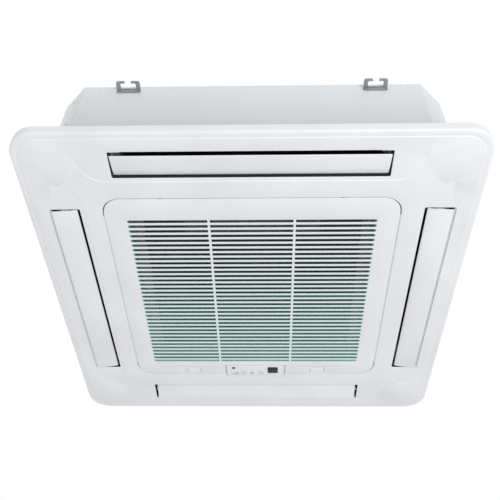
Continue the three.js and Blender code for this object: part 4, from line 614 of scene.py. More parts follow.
for quarter, side in enumerate(SIDES):
    tilt_deg, reach, blade_end = VANES[side]
    turn = Matrix.Rotation(quarter * math.pi / 2, 3, "Z")
    tilt = Matrix.Rotation(math.radians(tilt_deg), 3, "X")
    place = turn @ Vector((0, VANE_Y, VANE_Z))
    vane = Shell()
    stations = [(0.7, -blade_end), (0.2, -blade_end + 0.3), (0, -blade_end + 1)]
    stations += [(0, -90), (0, 90)] + [(shrink, -x) for shrink, x in reversed(stations)]
    rings = [[vane.bm.verts.new((x, y, z)) for y, z in vane_section(shrink, reach)] for shrink, x in stations]
    vane.band(*rings)
    vane.bm.faces.new(rings[0])
    vane.bm.faces.new(rings[-1])
    arm = [(-9, VANE_BOTTOM + 1.2), (9, VANE_BOTTOM + 1.2), (5, 0), (-5, 0)]
    for end in (-1, 1):
        near, far = (
            [vane.bm.verts.new((x, y, z)) for y, z in arm]
            for x in (end * (blade_end - 0.2), end * (blade_end - 4))
        )
        vane.band(near, far)
        vane.bm.faces.new(near)
        vane.bm.faces.new(far)
    boss_from = VANE_END - BOSS_LENGTH
    boss = [(BORE_R, boss_from), (BOSS_R - 0.5, boss_from), (BOSS_R, boss_from + 0.5)]
    boss += [(BOSS_R, VANE_END - 0.5), (BOSS_R - 0.5, VANE_END), (BORE_R, VANE_END)]
    vane.turned(boss, axis="X", steps=24)
    pin_end = OUTLET_HALF_LENGTH + DUCT_WALL + 1
    vane_pin = [(0, -pin_end), (VANE_PIN_R - 0.4, -pin_end), (VANE_PIN_R, -pin_end + 0.5)]
    vane_pin += [(VANE_PIN_R, -VANE_END), (BOSS_R, -VANE_END), (BOSS_R, 4 - VANE_END), (0, 4 - VANE_END)]
    vane.turned(vane_pin, axis="X", steps=24, closed=False)
    vane.piece(f"air_vane_{side}", vane_plastic, f"{side}_vane", f"vane_{side}", slot="vane_plastic",
               turn=turn @ tilt, place=place)

    stepper = Shell()
    x0 = OUTLET_HALF_LENGTH + DUCT_WALL + 0.3
    x1 = x0 + STEPPER_LENGTH
    stepper_can = [(0, x0), (8.8, x0), (STEPPER_R, x0 + 0.6), (STEPPER_R, x0 + 4.5), (9.7, x0 + 5)]
    stepper_can += [(STEPPER_R, x0 + 5.5), (STEPPER_R, x1 - 0.8), (9.2, x1), (0, x1)]
    stepper.turned(stepper_can, axis="X", steps=32, closed=False)
    shaft_from = OUTLET_HALF_LENGTH - 7
    stepper_shaft = [(0, shaft_from), (1.9, shaft_from), (2.3, shaft_from + 0.5), (2.3, x0 + 1), (0, x0 + 1)]
    stepper.turned(stepper_shaft, axis="X", steps=16, closed=False)
    stepper.block(x0, x0 + 3, -13, 13, -3, 3, 0.6)
    stepper.block(x0 + 7, x0 + 12, -4, 4, -11.2, -8, 0.4)
    stepper.piece(f"vane_stepper_{side}", stepper_plastic, "unit", f"vane_motor_{side}",
                  slot="grey_plastic", turn=turn, place=place)


# ---------------------------------------------------------------- intake grille
# The service door: a flat plate in the panel's plane with thirty-six rows of slots, a rim round its
# back and two goosenecks on the hinged edge. The bars between the slots are one with the plate.

DOOR_X, DOOR_Y, DOOR_CORNER = 313.5, 308.5, 39
DOOR_PLATE, DOOR_RIM_Z, DOOR_WALL = 3, -12, 2.5
CUT_X, CUT_Y = 80, 271  # room for the display strip
SLOT_PITCH, SLOT_WIDTH, SLOT_COUNT = 14.19, 8, 36
FIELD_X, FIELD_MIDDLE_Y = 267.8, 2.5
FIELD_HALF_Y = ((SLOT_COUNT - 1) * SLOT_PITCH + SLOT_WIDTH) / 2
RIB_X, RIB_WIDTH = 92.3, 5.5  # the two broad ribs across the slots
POCKET_X, POCKET_Y, POCKET_HALF_X, POCKET_HALF_Y = 166, 292, 19, 13


def door_outline(inset):
    """The door's plan, with the cut for the display strip in its far edge."""
    half_x, half_y, r = DOOR_X - inset, DOOR_Y - inset, DOOR_CORNER - inset
    return [
        *arc(half_x - r, -half_y + r, r, -90, 0, 12),
        *arc(half_x - r, half_y - r, r, 0, 90, 12),
        (CUT_X + inset, half_y),
        (CUT_X + inset, CUT_Y - inset),
        (-CUT_X - inset, CUT_Y - inset),
        (-CUT_X - inset, half_y),
        *arc(-half_x + r, half_y - r, r, 90, 180, 12),
        *arc(-half_x + r, -half_y + r, r, 180, 270, 12),
    ]


door = Shell()
door_loops = [
    door.loop(door_outline(inset), z)
    for inset, z in (
        (1.7, FACE_Z),
        (0.8, FACE_Z + 0.2),
        (0.2, FACE_Z + 0.8),
        (0, FACE_Z + 1.6),
        (0, DOOR_RIM_Z),
        (DOOR_WALL, DOOR_RIM_Z),
        (DOOR_WALL, FACE_Z + DOOR_PLATE),
    )
]
door.band(*door_loops)
front_holes, back_holes = [], []
openings = [(FIELD_X, FIELD_HALF_Y, SLOT_WIDTH / 2, 0, FIELD_MIDDLE_Y)]
openings += [(POCKET_HALF_X, POCKET_HALF_Y, 3, end * POCKET_X, POCKET_Y) for end in (-1, 1)]
for half_x, half_y, r, x, y in openings:
    hole = [
        door.loop(rounded(half_x + grow, half_y + grow, r + grow, x, y, steps=4), z)
        for grow, z in (
            (0.8, FACE_Z),
            (0.3, FACE_Z + 0.15),
            (0, FACE_Z + 0.8),
            (0, FACE_Z + DOOR_PLATE),
        )
    ]
    door.band(*hole)
    front_holes.append(hole[0])
    back_holes.append(hole[-1])
door.fill(door_loops[0], *front_holes)
door.fill(door_loops[-1], *back_holes)
for end in (-1, 1):
    rib = sorted((end * (RIB_X - RIB_WIDTH / 2), end * (RIB_X + RIB_WIDTH / 2)))
    y0, y1 = FIELD_MIDDLE_Y - FIELD_HALF_Y - 1.5, FIELD_MIDDLE_Y + FIELD_HALF_Y + 1.5
    door.block(*rib, y0, y1, FACE_Z + 0.45, FACE_Z + DOOR_PLATE + 0.05, 0.7)
ARM_WIDTH, ARM_THICK, ARM_TOP, EYE_R = 6, 3, -5.5, 2.7
for end in (-1, 1):
    x0, x1 = end * HINGE_X - ARM_WIDTH / 2, end * HINGE_X + ARM_WIDTH / 2
    gooseneck = [
        (-DOOR_Y + ARM_THICK, FACE_Z + DOOR_PLATE - 1),
        (-DOOR_Y + ARM_THICK, ARM_TOP - 2),
        (-DOOR_Y + ARM_THICK - 0.6, ARM_TOP - 0.6),
        (-DOOR_Y + ARM_THICK - 2, ARM_TOP),
        (HINGE_Y + 0.5, ARM_TOP),
        (HINGE_Y - 0.9, ARM_TOP - 0.6),
        (HINGE_Y - 1.5, ARM_TOP - 2),
        (HINGE_Y - 1.5, HINGE_Z),
        (HINGE_Y + 1.5, HINGE_Z),
        (HINGE_Y + 1.5, ARM_TOP - ARM_THICK - 0.8),
        (HINGE_Y + 2.3, ARM_TOP - ARM_THICK),
        (-DOOR_Y - 0.8, ARM_TOP - ARM_THICK),
        (-DOOR_Y, ARM_TOP - ARM_THICK - 0.8),
        (-DOOR_Y, FACE_Z + DOOR_PLATE - 1),
    ]
    ends = [[door.bm.verts.new((x, y, z)) for y, z in gooseneck] for x in (x0, x1)]
    door.band(*ends)
    for face in ends:
        door.bm.faces.new(face)
    eye = [(1.7, x0), (EYE_R - 0.3, x0), (EYE_R, x0 + 0.3), (EYE_R, x1 - 0.3), (EYE_R - 0.3, x1), (1.7, x1)]
    door.turned(eye, x=HINGE_Y, y=HINGE_Z, axis="X", steps=24)
door.piece("grille_door", white_plastic, "door", "intake_grille", slot="white_plastic")


def row_tree(name):
    """A tree that sets copies of one piece along a straight row and gives them their finish."""
    tree = bpy.data.node_groups.new(name, "GeometryNodeTree")
    sockets = [
        ("Piece", "NodeSocketObject"),
        ("Count", "NodeSocketInt"),
        ("Start", "NodeSocketVector"),
        ("Step", "NodeSocketVector"),
        ("Finish", "NodeSocketMaterial"),
    ]
    for socket, kind in sockets:
        tree.interface.new_socket(socket, in_out="INPUT", socket_type=kind)
    tree.interface.new_socket("Geometry", in_out="OUTPUT", socket_type="NodeSocketGeometry")
    given = tree.nodes.new("NodeGroupInput")
    row = tree.nodes.new("GeometryNodeMeshLine")
    tree.links.new(given.outputs["Count"], row.inputs["Count"])
    tree.links.new(given.outputs["Start"], row.inputs["Start Location"])
    tree.links.new(given.outputs["Step"], row.inputs["Offset"])
    piece = tree.nodes.new("GeometryNodeObjectInfo")
    tree.links.new(given.outputs["Piece"], piece.inputs["Object"])
    copies = tree.nodes.new("GeometryNodeInstanceOnPoints")
    tree.links.new(row.outputs["Mesh"], copies.inputs["Points"])
    tree.links.new(piece.outputs["Geometry"], copies.inputs["Instance"])
    finish_copies(tree, given, copies)
    return tree


def finish_copies(tree, given, copies):
    """Ends a tree: real meshes in place of the copies, with their material."""
    real = tree.nodes.new("GeometryNodeRealizeInstances")
    tree.links.new(copies.outputs["Instances"], real.inputs["Geometry"])
    painted = tree.nodes.new("GeometryNodeSetMaterial")
    tree.links.new(real.outputs["Geometry"], painted.inputs["Geometry"])
    tree.links.new(given.outputs["Finish"], painted.inputs["Material"])
    result = tree.nodes.new("NodeGroupOutput")
    tree.links.new(painted.outputs["Geometry"], result.inputs["Geometry"])


def grown(tree, base_mesh, **inputs):
    """The plain mesh that a tree makes of its inputs, on an object that is then thrown away."""
    base = bpy.data.objects.new("base", base_mesh)
    bpy.context.scene.collection.objects.link(base)
    modifier = base.modifiers.new("copies", "NODES")
    modifier.node_group = tree
    for item in tree.interface.items_tree:
        if item.name in inputs:
            modifier[item.identifier] = inputs[item.name]
    evaluated = base.evaluated_get(bpy.context.evaluated_depsgraph_get())
    mesh = bpy.data.meshes.new_from_object(evaluated)
    bpy.data.objects.remove(base)
    return mesh


def pattern_piece(shell):
    """A piece to be copied by a tree: an object that isn't part of the scene."""
    bmesh.ops.recalc_face_normals(shell.bm, faces=shell.bm.faces)
    bmesh.ops.scale(shell.bm, verts=shell.bm.verts, vec=(MM, MM, MM))
    mesh = bpy.data.meshes.new("pattern")
    shell.bm.to_mesh(mesh)
    shell.bm.free()
    return bpy.data.objects.new("pattern", mesh)


BAR_HEIGHT, BAR_TAPER = 2.4, 0.8
SHADE_SPAN = 500  # over this distance the bars' painted teal light and the net's painted shade change, from the near edge to the far one


def bar_outline(inset):
    """One bar in plan, spreading at its ends round the ends of the slots beside it."""
    half, r = SLOT_PITCH / 2, SLOT_WIDTH / 2
    spread = [(FIELD_X - r + (r + inset) * math.sin(a), half - (r + inset) * math.cos(a))
              for a in (math.radians(d) for d in (0, 22, 45, 68, 90))]
    spread.append((FIELD_X + 1, half))
    right = [(x, -y) for x, y in spread] + spread[::-1]
    return right + [(-x, -y) for x, y in right]


bar = Shell()
bar_loops = [
    bar.loop(bar_outline(inset), z)
    for inset, z in (
        (0.8, FACE_Z + 0.02),
        (0.3, FACE_Z + 0.17),
        (0, FACE_Z + 0.8),
        (BAR_TAPER, FACE_Z + BAR_HEIGHT),
    )
]
bar.band(*bar_loops)
bar.bm.faces.new(bar_loops[0])
bar.bm.faces.new(bar_loops[-1])
bar_pattern = pattern_piece(bar)
bar_plastic = Finish("white_bar_plastic", 0.42)
bar_place = bar_plastic.along("Y", SHADE_SPAN)
# The bars carry a painted teal light that grows towards the far edge, as if lit through the filter, with a
# slow random drift in it.
bar_teal_light = bar_plastic.ramp(0.5 + bar_place + 0.12 * bar_plastic.noise(90), 0.1, 1.0)
bar_plastic.feed("Base Color", bar_plastic.mix(srgb(234, 241, 243), srgb(216, 240, 237), bar_teal_light))
bar_plastic.feed("Roughness", 0.38 + 0.1 * bar_plastic.noise(60))
bar_plastic.bump(bar_plastic.noise(0.7), 0.02, 0.6)
row = row_tree("row_of_bars")
first_bar = FIELD_MIDDLE_Y - (SLOT_COUNT - 2) / 2 * SLOT_PITCH
bars = grown(
    row,
    bpy.data.meshes.new("no_base"),
    Piece=bar_pattern,
    Count=SLOT_COUNT - 1,
    Start=(0, first_bar * MM, 0),
    Step=(0, SLOT_PITCH * MM, 0),
    Finish=bar_plastic.material,
)
fitted("grille_bars", bars, bar_plastic.material, "door", slot="white_plastic")


# ---------------------------------------------------------------- hinge pins
# Each hinge pin is a steel rod with domed ends, in the gooseneck's eye and the panel's two lugs.

PIN_R, PIN_HALF = 1.5, 7


def metal(name, colour, roughness, metallic=1.0, wear=0.12, streak=(1, 1, 1)):
    """Bare metal: its shade and gloss vary in fine streaks and in larger clouds."""
    finish = Finish(name, roughness, metallic)
    cloud, fine = finish.noise(45, detail=3), finish.noise(3, streak)
    darker = [c * (1 - wear) for c in colour[:3]] + [1]
    finish.feed("Base Color", finish.mix(darker, colour, finish.ramp(0.6 * cloud + 0.4 * fine, 0.35, 0.6)))
    finish.feed("Roughness", roughness - 0.08 + 0.16 * fine)
    finish.bump(fine, 0.02, 0.4)
    return finish.material


steel = metal("bright_steel", srgb(168, 170, 172), 0.34)
for end, side in ((-1, "left"), (1, "right")):
    pin = Shell()
    dome = [(0, PIN_HALF), (PIN_R * 0.7, PIN_HALF - 0.15), (PIN_R, PIN_HALF - 0.7)]
    profile = [(r, -x) for r, x in dome] + dome[::-1]
    pin.turned(profile, x=HINGE_Y, y=HINGE_Z, axis="X", steps=24, closed=False)
    pin.piece(f"hinge_pin_rod_{side}", steel, "door", f"hinge_pin_{side}", slot="steel",
              place=(end * HINGE_X, 0, 0))


# ---------------------------------------------------------------- door latches
# Two white slides in pockets by the grille's far edge: a thumb key with three ridges in front, and
# behind the plate a wider guide with the tongue that holds the door shut.

KEY_HALF, KEY_Y0, KEY_Y1, KEY_Z = 18, 288, 304, -23.3
GUIDE_HALF, GUIDE_Y0, GUIDE_Y1, GUIDE_Z, GUIDE_THICK = 21.5, 279.5, 305, -20.7, 2
TONGUE_HALF, TONGUE_END = 8, 307.5
RIDGE_HALF, RIDGE_PITCH = 11, 4

for end, side in ((-1, "left"), (1, "right")):
    x = end * POCKET_X
    latch = Shell()
    latch.block(x - KEY_HALF, x + KEY_HALF, KEY_Y0, KEY_Y1, KEY_Z, GUIDE_Z + 1, 0.8, segments=3)
    for ridge in range(3):
        y = KEY_Y0 + (ridge + 1) * RIDGE_PITCH
        latch.block(x - RIDGE_HALF, x + RIDGE_HALF, y - 0.6, y + 0.6, KEY_Z - 0.5, KEY_Z + 1, 0.35)
    latch.block(x - GUIDE_HALF, x + GUIDE_HALF, GUIDE_Y0, GUIDE_Y1, GUIDE_Z, GUIDE_Z + GUIDE_THICK, 0.5)
    latch.block(x - TONGUE_HALF, x + TONGUE_HALF, KEY_Y0, TONGUE_END, GUIDE_Z, GUIDE_Z + 2 * GUIDE_THICK, 0.6)
    latch.piece(f"latch_slide_{side}", white_plastic, f"{side}_latch", f"latch_{side}", slot="white_plastic")


# ---------------------------------------------------------------- air filter
# A green-blue net moulded into a frame with ribs, which lies loose on the back of the grille and is
# lifted out to be washed.

FILTER_X, FILTER_HALF_Y, FILTER_BORDER = 272, 258, 8
FILTER_Z, FILTER_HEIGHT = -20.7, 5
NET_Z, NET_THICK = -20.3, 0.4
NET_PITCH, NET_THREAD = 1.8, 0.2  # the thread's width is this share of the pitch
STAY_COUNT, STAY_WIDTH, STAY_HEIGHT = 7, 1.6, 1.4

teal = srgb(96, 156, 150)
filter_plastic = moulded_plastic("filter_frame_plastic", teal, 0.5)

filter_frame = Shell()


def filter_plan(inset):
    """The filter's plan, or one of its frame's inner edges."""
    r = max(1.5, 8 - inset)
    return rounded(FILTER_X - inset, FILTER_HALF_Y - inset, r, y=FIELD_MIDDLE_Y, steps=5)


filter_loops = [
    filter_frame.loop(filter_plan(inset), FILTER_Z + rise)
    for inset, rise in (
        (0.6, 0), (0, 0.6), (0, FILTER_HEIGHT - 0.6), (0.6, FILTER_HEIGHT),
        (FILTER_BORDER - 0.6, FILTER_HEIGHT), (FILTER_BORDER, FILTER_HEIGHT - 0.6),
        (FILTER_BORDER, 0.6), (FILTER_BORDER - 0.6, 0),
    )
]
filter_frame.band(*filter_loops, filter_loops[0])
x1, y1 = FILTER_X - FILTER_BORDER + 1, FILTER_HALF_Y - FILTER_BORDER + 1
for end in (-1, 1):
    x = end * RIB_X
    filter_frame.block(x - RIB_WIDTH / 2, x + RIB_WIDTH / 2, FIELD_MIDDLE_Y - y1, FIELD_MIDDLE_Y + y1,
                       FILTER_Z, FILTER_Z + FILTER_HEIGHT / 2, 0.5)
filter_frame.block(-x1, x1, FIELD_MIDDLE_Y - RIB_WIDTH / 2, FIELD_MIDDLE_Y + RIB_WIDTH / 2,
                   FILTER_Z + 0.05, FILTER_Z + FILTER_HEIGHT / 2 + 0.05, 0.5)
filter_frame.piece("filter_frame", filter_plastic, "filter", "air_filter", slot="filter_net")

stay = Shell()
stay.block(-x1, x1, -STAY_WIDTH / 2, STAY_WIDTH / 2, FILTER_Z + 0.1, FILTER_Z + 0.1 + STAY_HEIGHT, 0.3)
stay_step = 2 * FILTER_HALF_Y / (STAY_COUNT + 1)
stays = grown(
    row,
    bpy.data.meshes.new("no_base"),
    Piece=pattern_piece(stay),
    Count=STAY_COUNT,
    Start=(0, (FIELD_MIDDLE_Y - (STAY_COUNT - 1) / 2 * stay_step) * MM, 0),
    Step=(0, stay_step * MM, 0),
    Finish=filter_plastic,
)
fitted("filter_stays", stays, filter_plastic, "filter", slot="filter_net")

net_finish = Finish("woven_filter_net", 0.7)
threads = []
for axis in ("X", "Y"):
    count = net_finish.along(axis, NET_PITCH)
    threads.append(1 - (count.math("FRACT", count) > NET_THREAD))
net_finish.feed("Alpha", threads[0].math("MAXIMUM", *threads))
net_place = net_finish.along("Y", SHADE_SPAN)
# The net carries a painted shade: near-black towards the near edge and a lighter teal towards the far edge,
# with a random cloud of dust over it that also roughens it.
net_shade_and_dust = net_finish.ramp(0.3 + net_place + 0.4 * net_finish.noise(70, detail=3), 0.3, 1.0)
net_finish.feed("Base Color", net_finish.mix(srgb(30, 58, 55), srgb(124, 172, 167), net_shade_and_dust))
net_finish.feed("Roughness", 0.65 + 0.2 * net_shade_and_dust)
net = Shell()
net.block(-x1, x1, FIELD_MIDDLE_Y - y1, FIELD_MIDDLE_Y + y1, NET_Z, NET_Z + NET_THICK, 0)
net.piece("filter_net", net_finish.material, "filter", slot="filter_net")


# ---------------------------------------------------------------- display strip
# A white housing clipped into the panel's edge, in a cut of the door. It carries the dark receiver
# window, a small dark push button and four plain symbols printed in pale grey.

STRIP_X, STRIP_Y0, STRIP_Y1, STRIP_TOP = 76.7, 273, 325, -8
LENS_X, LENS_Y, LENS_HALF, LENS_DEPTH = 46.5, 293.5, 13.5, 2.7
BUTTON_X, BUTTON_Y, BUTTON_R, BUTTON_Z, BUTTON_DEPTH = -58.7, 284, 4.5, -24.4, 4
SYMBOL_Y, SYMBOL_HALF, SYMBOL_XS = 306, 7.5, (-54, -32, -9, 15)
INK = 0.1  # how far a printed symbol stands off the housing
FLANGE_OUT, FLANGE_LENGTH, FLANGE_Z0, FLANGE_Z1 = 2.7, 36, FACE_Z + 4.5, FACE_Z + 6.5


def strip_outline(inset):
    """The housing's plan."""
    middle = (STRIP_Y0 + STRIP_Y1) / 2
    return rounded(STRIP_X - inset, (STRIP_Y1 - STRIP_Y0) / 2 - inset, 2 - inset, y=middle, steps=4)


strip = Shell()
strip_loops = [
    strip.loop(strip_outline(inset), z)
    for inset, z in (
        (0.8, FACE_Z),
        (0.3, FACE_Z + 0.15),
        (0, FACE_Z + 0.8),
        (0, STRIP_TOP - 0.8),
        (0.8, STRIP_TOP),
    )
]
strip.band(*strip_loops)
lens_well = [
    strip.loop(rounded(LENS_HALF + grow, LENS_HALF + grow, 3 + grow, LENS_X, LENS_Y, steps=5), z)
    for grow, z in ((0.6, FACE_Z), (0.3, FACE_Z + 0.4), (0.3, FACE_Z + 3))
]
button_well = [
    strip.loop(circle(BUTTON_R + grow, 32, BUTTON_X, BUTTON_Y), z)
    for grow, z in ((0.7, FACE_Z), (0.35, FACE_Z + 0.4), (0.35, BUTTON_Z + BUTTON_DEPTH + 1.3))
]
for well in (lens_well, button_well):
    strip.band(*well)
    strip.bm.faces.new(well[-1])
strip.fill(strip_loops[0], lens_well[0], button_well[0])
strip.bm.faces.new(strip_loops[-1])
for end in (-1, 1):
    ends = sorted((end * (STRIP_X - 1), end * (STRIP_X + FLANGE_OUT)))
    strip.block(*ends, STRIP_Y0 + 1, STRIP_Y0 + FLANGE_LENGTH, FLANGE_Z0, FLANGE_Z1, 0.3)
strip.piece("display_strip", white_plastic, "unit", "display_housing", slot="white_plastic")

smoked = Finish("smoked_window", 0.16, Coat_Weight=0.3, Coat_Roughness=0.05)
smoked.feed("Base Color", smoked.mix(srgb(12, 13, 17), srgb(24, 24, 29), smoked.noise(9)))
smoked.bump(smoked.noise(6), 0.02, 0.5)
lens = Shell()
lens_loops = [
    lens.loop(rounded(LENS_HALF - inset, LENS_HALF - inset, 3 - inset, LENS_X, LENS_Y, steps=5), z)
    for inset, z in ((0.8, FACE_Z), (0.25, FACE_Z + 0.2), (0, FACE_Z + 0.8), (0, FACE_Z + LENS_DEPTH))
]
lens.band(*lens_loops)
lens.bm.faces.new(lens_loops[0])
lens.bm.faces.new(lens_loops[-1])
lens.piece("receiver_lens", smoked.material, "unit", "receiver_window", slot="smoked_plastic")

button_plastic = moulded_plastic("button_plastic", srgb(84, 86, 90), 0.45)
button = Shell()
button_crown = [(0, 0), (2.2, 0.08), (3.6, 0.3), (4.2, 0.7), (BUTTON_R, 1.2)]
button_crown += [(BUTTON_R, BUTTON_DEPTH), (0, BUTTON_DEPTH)]
button.turned([(r, BUTTON_Z + z) for r, z in button_crown], BUTTON_X, BUTTON_Y, steps=32, closed=False)
button.piece("push_button", button_plastic, "button", "manual_button", slot="smoked_plastic")

ink_finish = Finish("pale_grey_ink", 0.6)
ink_finish.feed("Base Color", ink_finish.mix(srgb(188, 190, 194), srgb(202, 204, 208), ink_finish.noise(1.5)))
symbols = Shell()


def symbol_bar(x, y, half_x, half_y, turn_deg=0):
    """A short printed stroke with its middle at (x, y)."""
    angle = math.radians(turn_deg)
    plan = [
        (x + dx * math.cos(angle) - dy * math.sin(angle), y + dx * math.sin(angle) + dy * math.cos(angle))
        for dx, dy in ((-half_x, -half_y), (half_x, -half_y), (half_x, half_y), (-half_x, half_y))
    ]
    symbols.prism(plan, FACE_Z - INK, FACE_Z + INK)


def symbol_ring(x, y, r, width):
    """A printed ring."""
    symbols.prism(circle(r, 24, x, y), FACE_Z - INK, FACE_Z + INK, holes=[circle(r - width, 24, x, y)])


scale_x, clock_x, frost_x, wave_x = SYMBOL_XS
for step in range(3):  # a rising scale
    symbol_bar(scale_x - 6 + 6 * step, SYMBOL_Y + 4 - 2 * step, 1.9, 3.5 + 2 * step)
symbol_ring(clock_x, SYMBOL_Y, SYMBOL_HALF, 1.9)  # a clock face
symbol_bar(clock_x, SYMBOL_Y - 2, 0.9, 2.6)
symbol_bar(clock_x + 1.8, SYMBOL_Y, 2.4, 0.9)
for turn_deg in (0, 60, 120):  # a frost star
    symbol_bar(frost_x, SYMBOL_Y, SYMBOL_HALF, 1.1, turn_deg + 30)
for step in (-1, 0, 1):  # three lines of moving air
    symbol_bar(wave_x, SYMBOL_Y + 5 * step, SYMBOL_HALF - abs(step), 1.2, 12)
symbols.piece("strip_symbols", ink_finish.material, "unit", slot="grey_plastic")


# ---------------------------------------------------------------- casing
# Four zinc-coated sheets, painted pale grey and each folded at one end across the cut corner, under
# a flat top plate. Pan-head screws join them down the corners and along the top.

BODY_HALF, BODY_CHAMFER, BODY_TOP, BODY_BOTTOM, SHEET = 424, 52, 228, 4, 1.2
TOP_PLATE_Z, SIDE_TOP = 226.8, 226.5
FOLD_R = 3
GAS_X, GAS_Z, GAS_HOLE = 286, 150, 8.3
LIQUID_X, LIQUID_Z, LIQUID_HOLE = 225, 105, 5.1
SOCKET_Y, SOCKET_Z, SOCKET_HOLE = 338, 186, 16.3
HEAD_R, HEAD_RISE = 4.2, 1.9

painted = Finish("painted_sheet", 0.46, Coat_Weight=0.15, Coat_Roughness=0.25)
smudge = painted.ramp(painted.noise(220, (1, 1, 2.5), detail=3), 0.3, 0.75)
# The sheets carry a painted shade: darker towards the foot, where the panel's overhang shades the body, and
# paler towards the top, with a little of the random smudge pattern in it.
painted_foot_shade = painted.ramp(painted.along("Z", BODY_TOP) + 0.1 * smudge, 0.0, 1.0)
painted.feed("Base Color", painted.mix(srgb(197, 201, 205), srgb(231, 236, 240), painted_foot_shade))
painted.feed("Roughness", 0.42 + 0.12 * smudge)
painted.bump(painted.noise(2.4) + 0.3 * painted.noise(14), 0.05, 0.5)
painted_sheet = painted.material


def corner_fold(r):
    """The bend of a side sheet in plan, at radius r about the fold's own middle."""
    back = FOLD_R * math.tan(math.radians(22.5))
    return arc(BODY_HALF - BODY_CHAMFER - back, -BODY_HALF + FOLD_R, r, -90, -45, 4)


def wall_with_holes(holes):
    """The folded sheet of the near side, with round holes cut through its flat face."""
    flat = BODY_HALF - BODY_CHAMFER
    shift = SHEET / math.sqrt(2)
    end = (BODY_HALF, -flat)
    plan = [
        (-flat + 0.6, -BODY_HALF),
        *corner_fold(FOLD_R),
        end,
        (end[0] - shift, end[1] + shift),
        *reversed(corner_fold(FOLD_R - SHEET)),
        (-flat + 0.6, -BODY_HALF + SHEET),
    ]
    wall = Shell()
    foot, head = wall.loop(plan, BODY_BOTTOM), wall.loop(plan, SIDE_TOP)
    face, back = 0, len(plan) - 2  # the flat stretch outside and inside
    wall.band(foot, head, skip=(face, back))
    for edge in (foot, head):
        wall.fill(edge)
    cuts = []
    for start, y in ((face, -BODY_HALF), (back, -BODY_HALF + SHEET)):
        stop = start + 1
        border = [foot[start], foot[stop], head[stop], head[start]]
        rounds = [[wall.bm.verts.new((p, y, q)) for p, q in circle(r, 32, x, z)] for x, z, r in holes]
        wall.fill(border, *rounds)
        cuts.append(rounds)
    for outer, inner in zip(*cuts):
        wall.band(outer, inner)
    return wall


wall_holes = {
    "near": [],
    "right": [(SOCKET_Y, SOCKET_Z, SOCKET_HOLE)],
    "far": [(-GAS_X, GAS_Z, GAS_HOLE), (-LIQUID_X, LIQUID_Z, LIQUID_HOLE)],
    "left": [],
}
for quarter, side in enumerate(SIDES):
    wall = wall_with_holes(wall_holes[side])
    wall.piece(f"casing_sheet_{side}", painted_sheet, "unit", f"casing_side_{side}", slot="painted_sheet",
               turn=Matrix.Rotation(quarter * math.pi / 2, 3, "Z"))


def cut_square(half, chamfer):
    """The body's plan: a square with its corners cut."""
    flat = half - chamfer
    corners = [(-flat, -half), (flat, -half), (half, -flat), (half, flat)]
    return corners + [(-x, -y) for x, y in corners]


top = Shell()
top_loops = [
    top.loop(cut_square(BODY_HALF - inset, BODY_CHAMFER), z)
    for inset, z in ((0.3, TOP_PLATE_Z), (0, TOP_PLATE_Z + 0.3), (0, BODY_TOP - 0.4), (0.4, BODY_TOP))
]
top.band(*top_loops)
top.bm.faces.new(top_loops[0])
BEAD_X, BEAD_LENGTH, BEAD_R, BEAD_DEPTH = (-260, -130, 130, 260), 250, 9, 0.9  # pressed grooves
bead_edges = []
for x in BEAD_X:
    bead = [
        top.loop(rounded(r, BEAD_LENGTH - BEAD_R + r, r - 0.01, x, steps=8), BODY_TOP - drop)
        for r, drop in ((BEAD_R, 0), (BEAD_R - 2, 0.25), (BEAD_R - 4, 0.75), (BEAD_R - 6, BEAD_DEPTH))
    ]
    top.band(*bead)
    top.bm.faces.new(bead[-1])
    bead_edges.append(bead[0])
top.fill(top_loops[-1], *bead_edges)
top.piece("casing_lid", painted_sheet, "unit", "casing_top", slot="painted_sheet")


def scattered_tree(name, axis="Z", pivot="AUTO"):
    """A tree that sets one piece at every point of its mesh, with an axis the way the point faces."""
    tree = bpy.data.node_groups.new(name, "GeometryNodeTree")
    sockets = [
        ("Geometry", "NodeSocketGeometry"),
        ("Piece", "NodeSocketObject"),
        ("Finish", "NodeSocketMaterial"),
    ]
    for socket, kind in sockets:
        tree.interface.new_socket(socket, in_out="INPUT", socket_type=kind)
    tree.interface.new_socket("Geometry", in_out="OUTPUT", socket_type="NodeSocketGeometry")
    given = tree.nodes.new("NodeGroupInput")
    piece = tree.nodes.new("GeometryNodeObjectInfo")
    tree.links.new(given.outputs["Piece"], piece.inputs["Object"])
    facing = tree.nodes.new("GeometryNodeInputNamedAttribute")
    facing.data_type = "FLOAT_VECTOR"
    facing.inputs["Name"].default_value = "facing"
    aligned = tree.nodes.new("FunctionNodeAlignRotationToVector")
    aligned.axis = axis
    aligned.pivot_axis = pivot
    tree.links.new(facing.outputs["Attribute"], aligned.inputs["Vector"])
    copies = tree.nodes.new("GeometryNodeInstanceOnPoints")
    tree.links.new(given.outputs["Geometry"], copies.inputs["Points"])
    tree.links.new(piece.outputs["Geometry"], copies.inputs["Instance"])
    tree.links.new(aligned.outputs["Rotation"], copies.inputs["Rotation"])
    finish_copies(tree, given, copies)
    return tree


def points_facing(places):
    """A mesh of loose points in metres, from pairs of a place in millimetres and the way it faces."""
    mesh = bpy.data.meshes.new("points")
    mesh.from_pydata([Vector(place) * MM for place, facing in places], [], [])
    facing = mesh.attributes.new("facing", "FLOAT_VECTOR", "POINT")
    for item, (place, way) in zip(facing.data, places):
        item.vector = way
    return mesh


def cross_recess(shell, arm, thin, top, bottom):
    """A recess for a cross driver, narrower at its bottom. Gives its upper edge."""
    cross = []
    for k in range(4):
        turn = Matrix.Rotation(k * math.pi / 2, 2)
        cross += [turn @ Vector(p) for p in ((thin, -thin), (arm, -thin), (arm, thin))]
    edge = shell.loop(cross, top)
    sunk = shell.loop([p * 0.8 for p in cross], bottom)
    shell.band(edge, sunk)
    shell.bm.faces.new(sunk)
    return edge


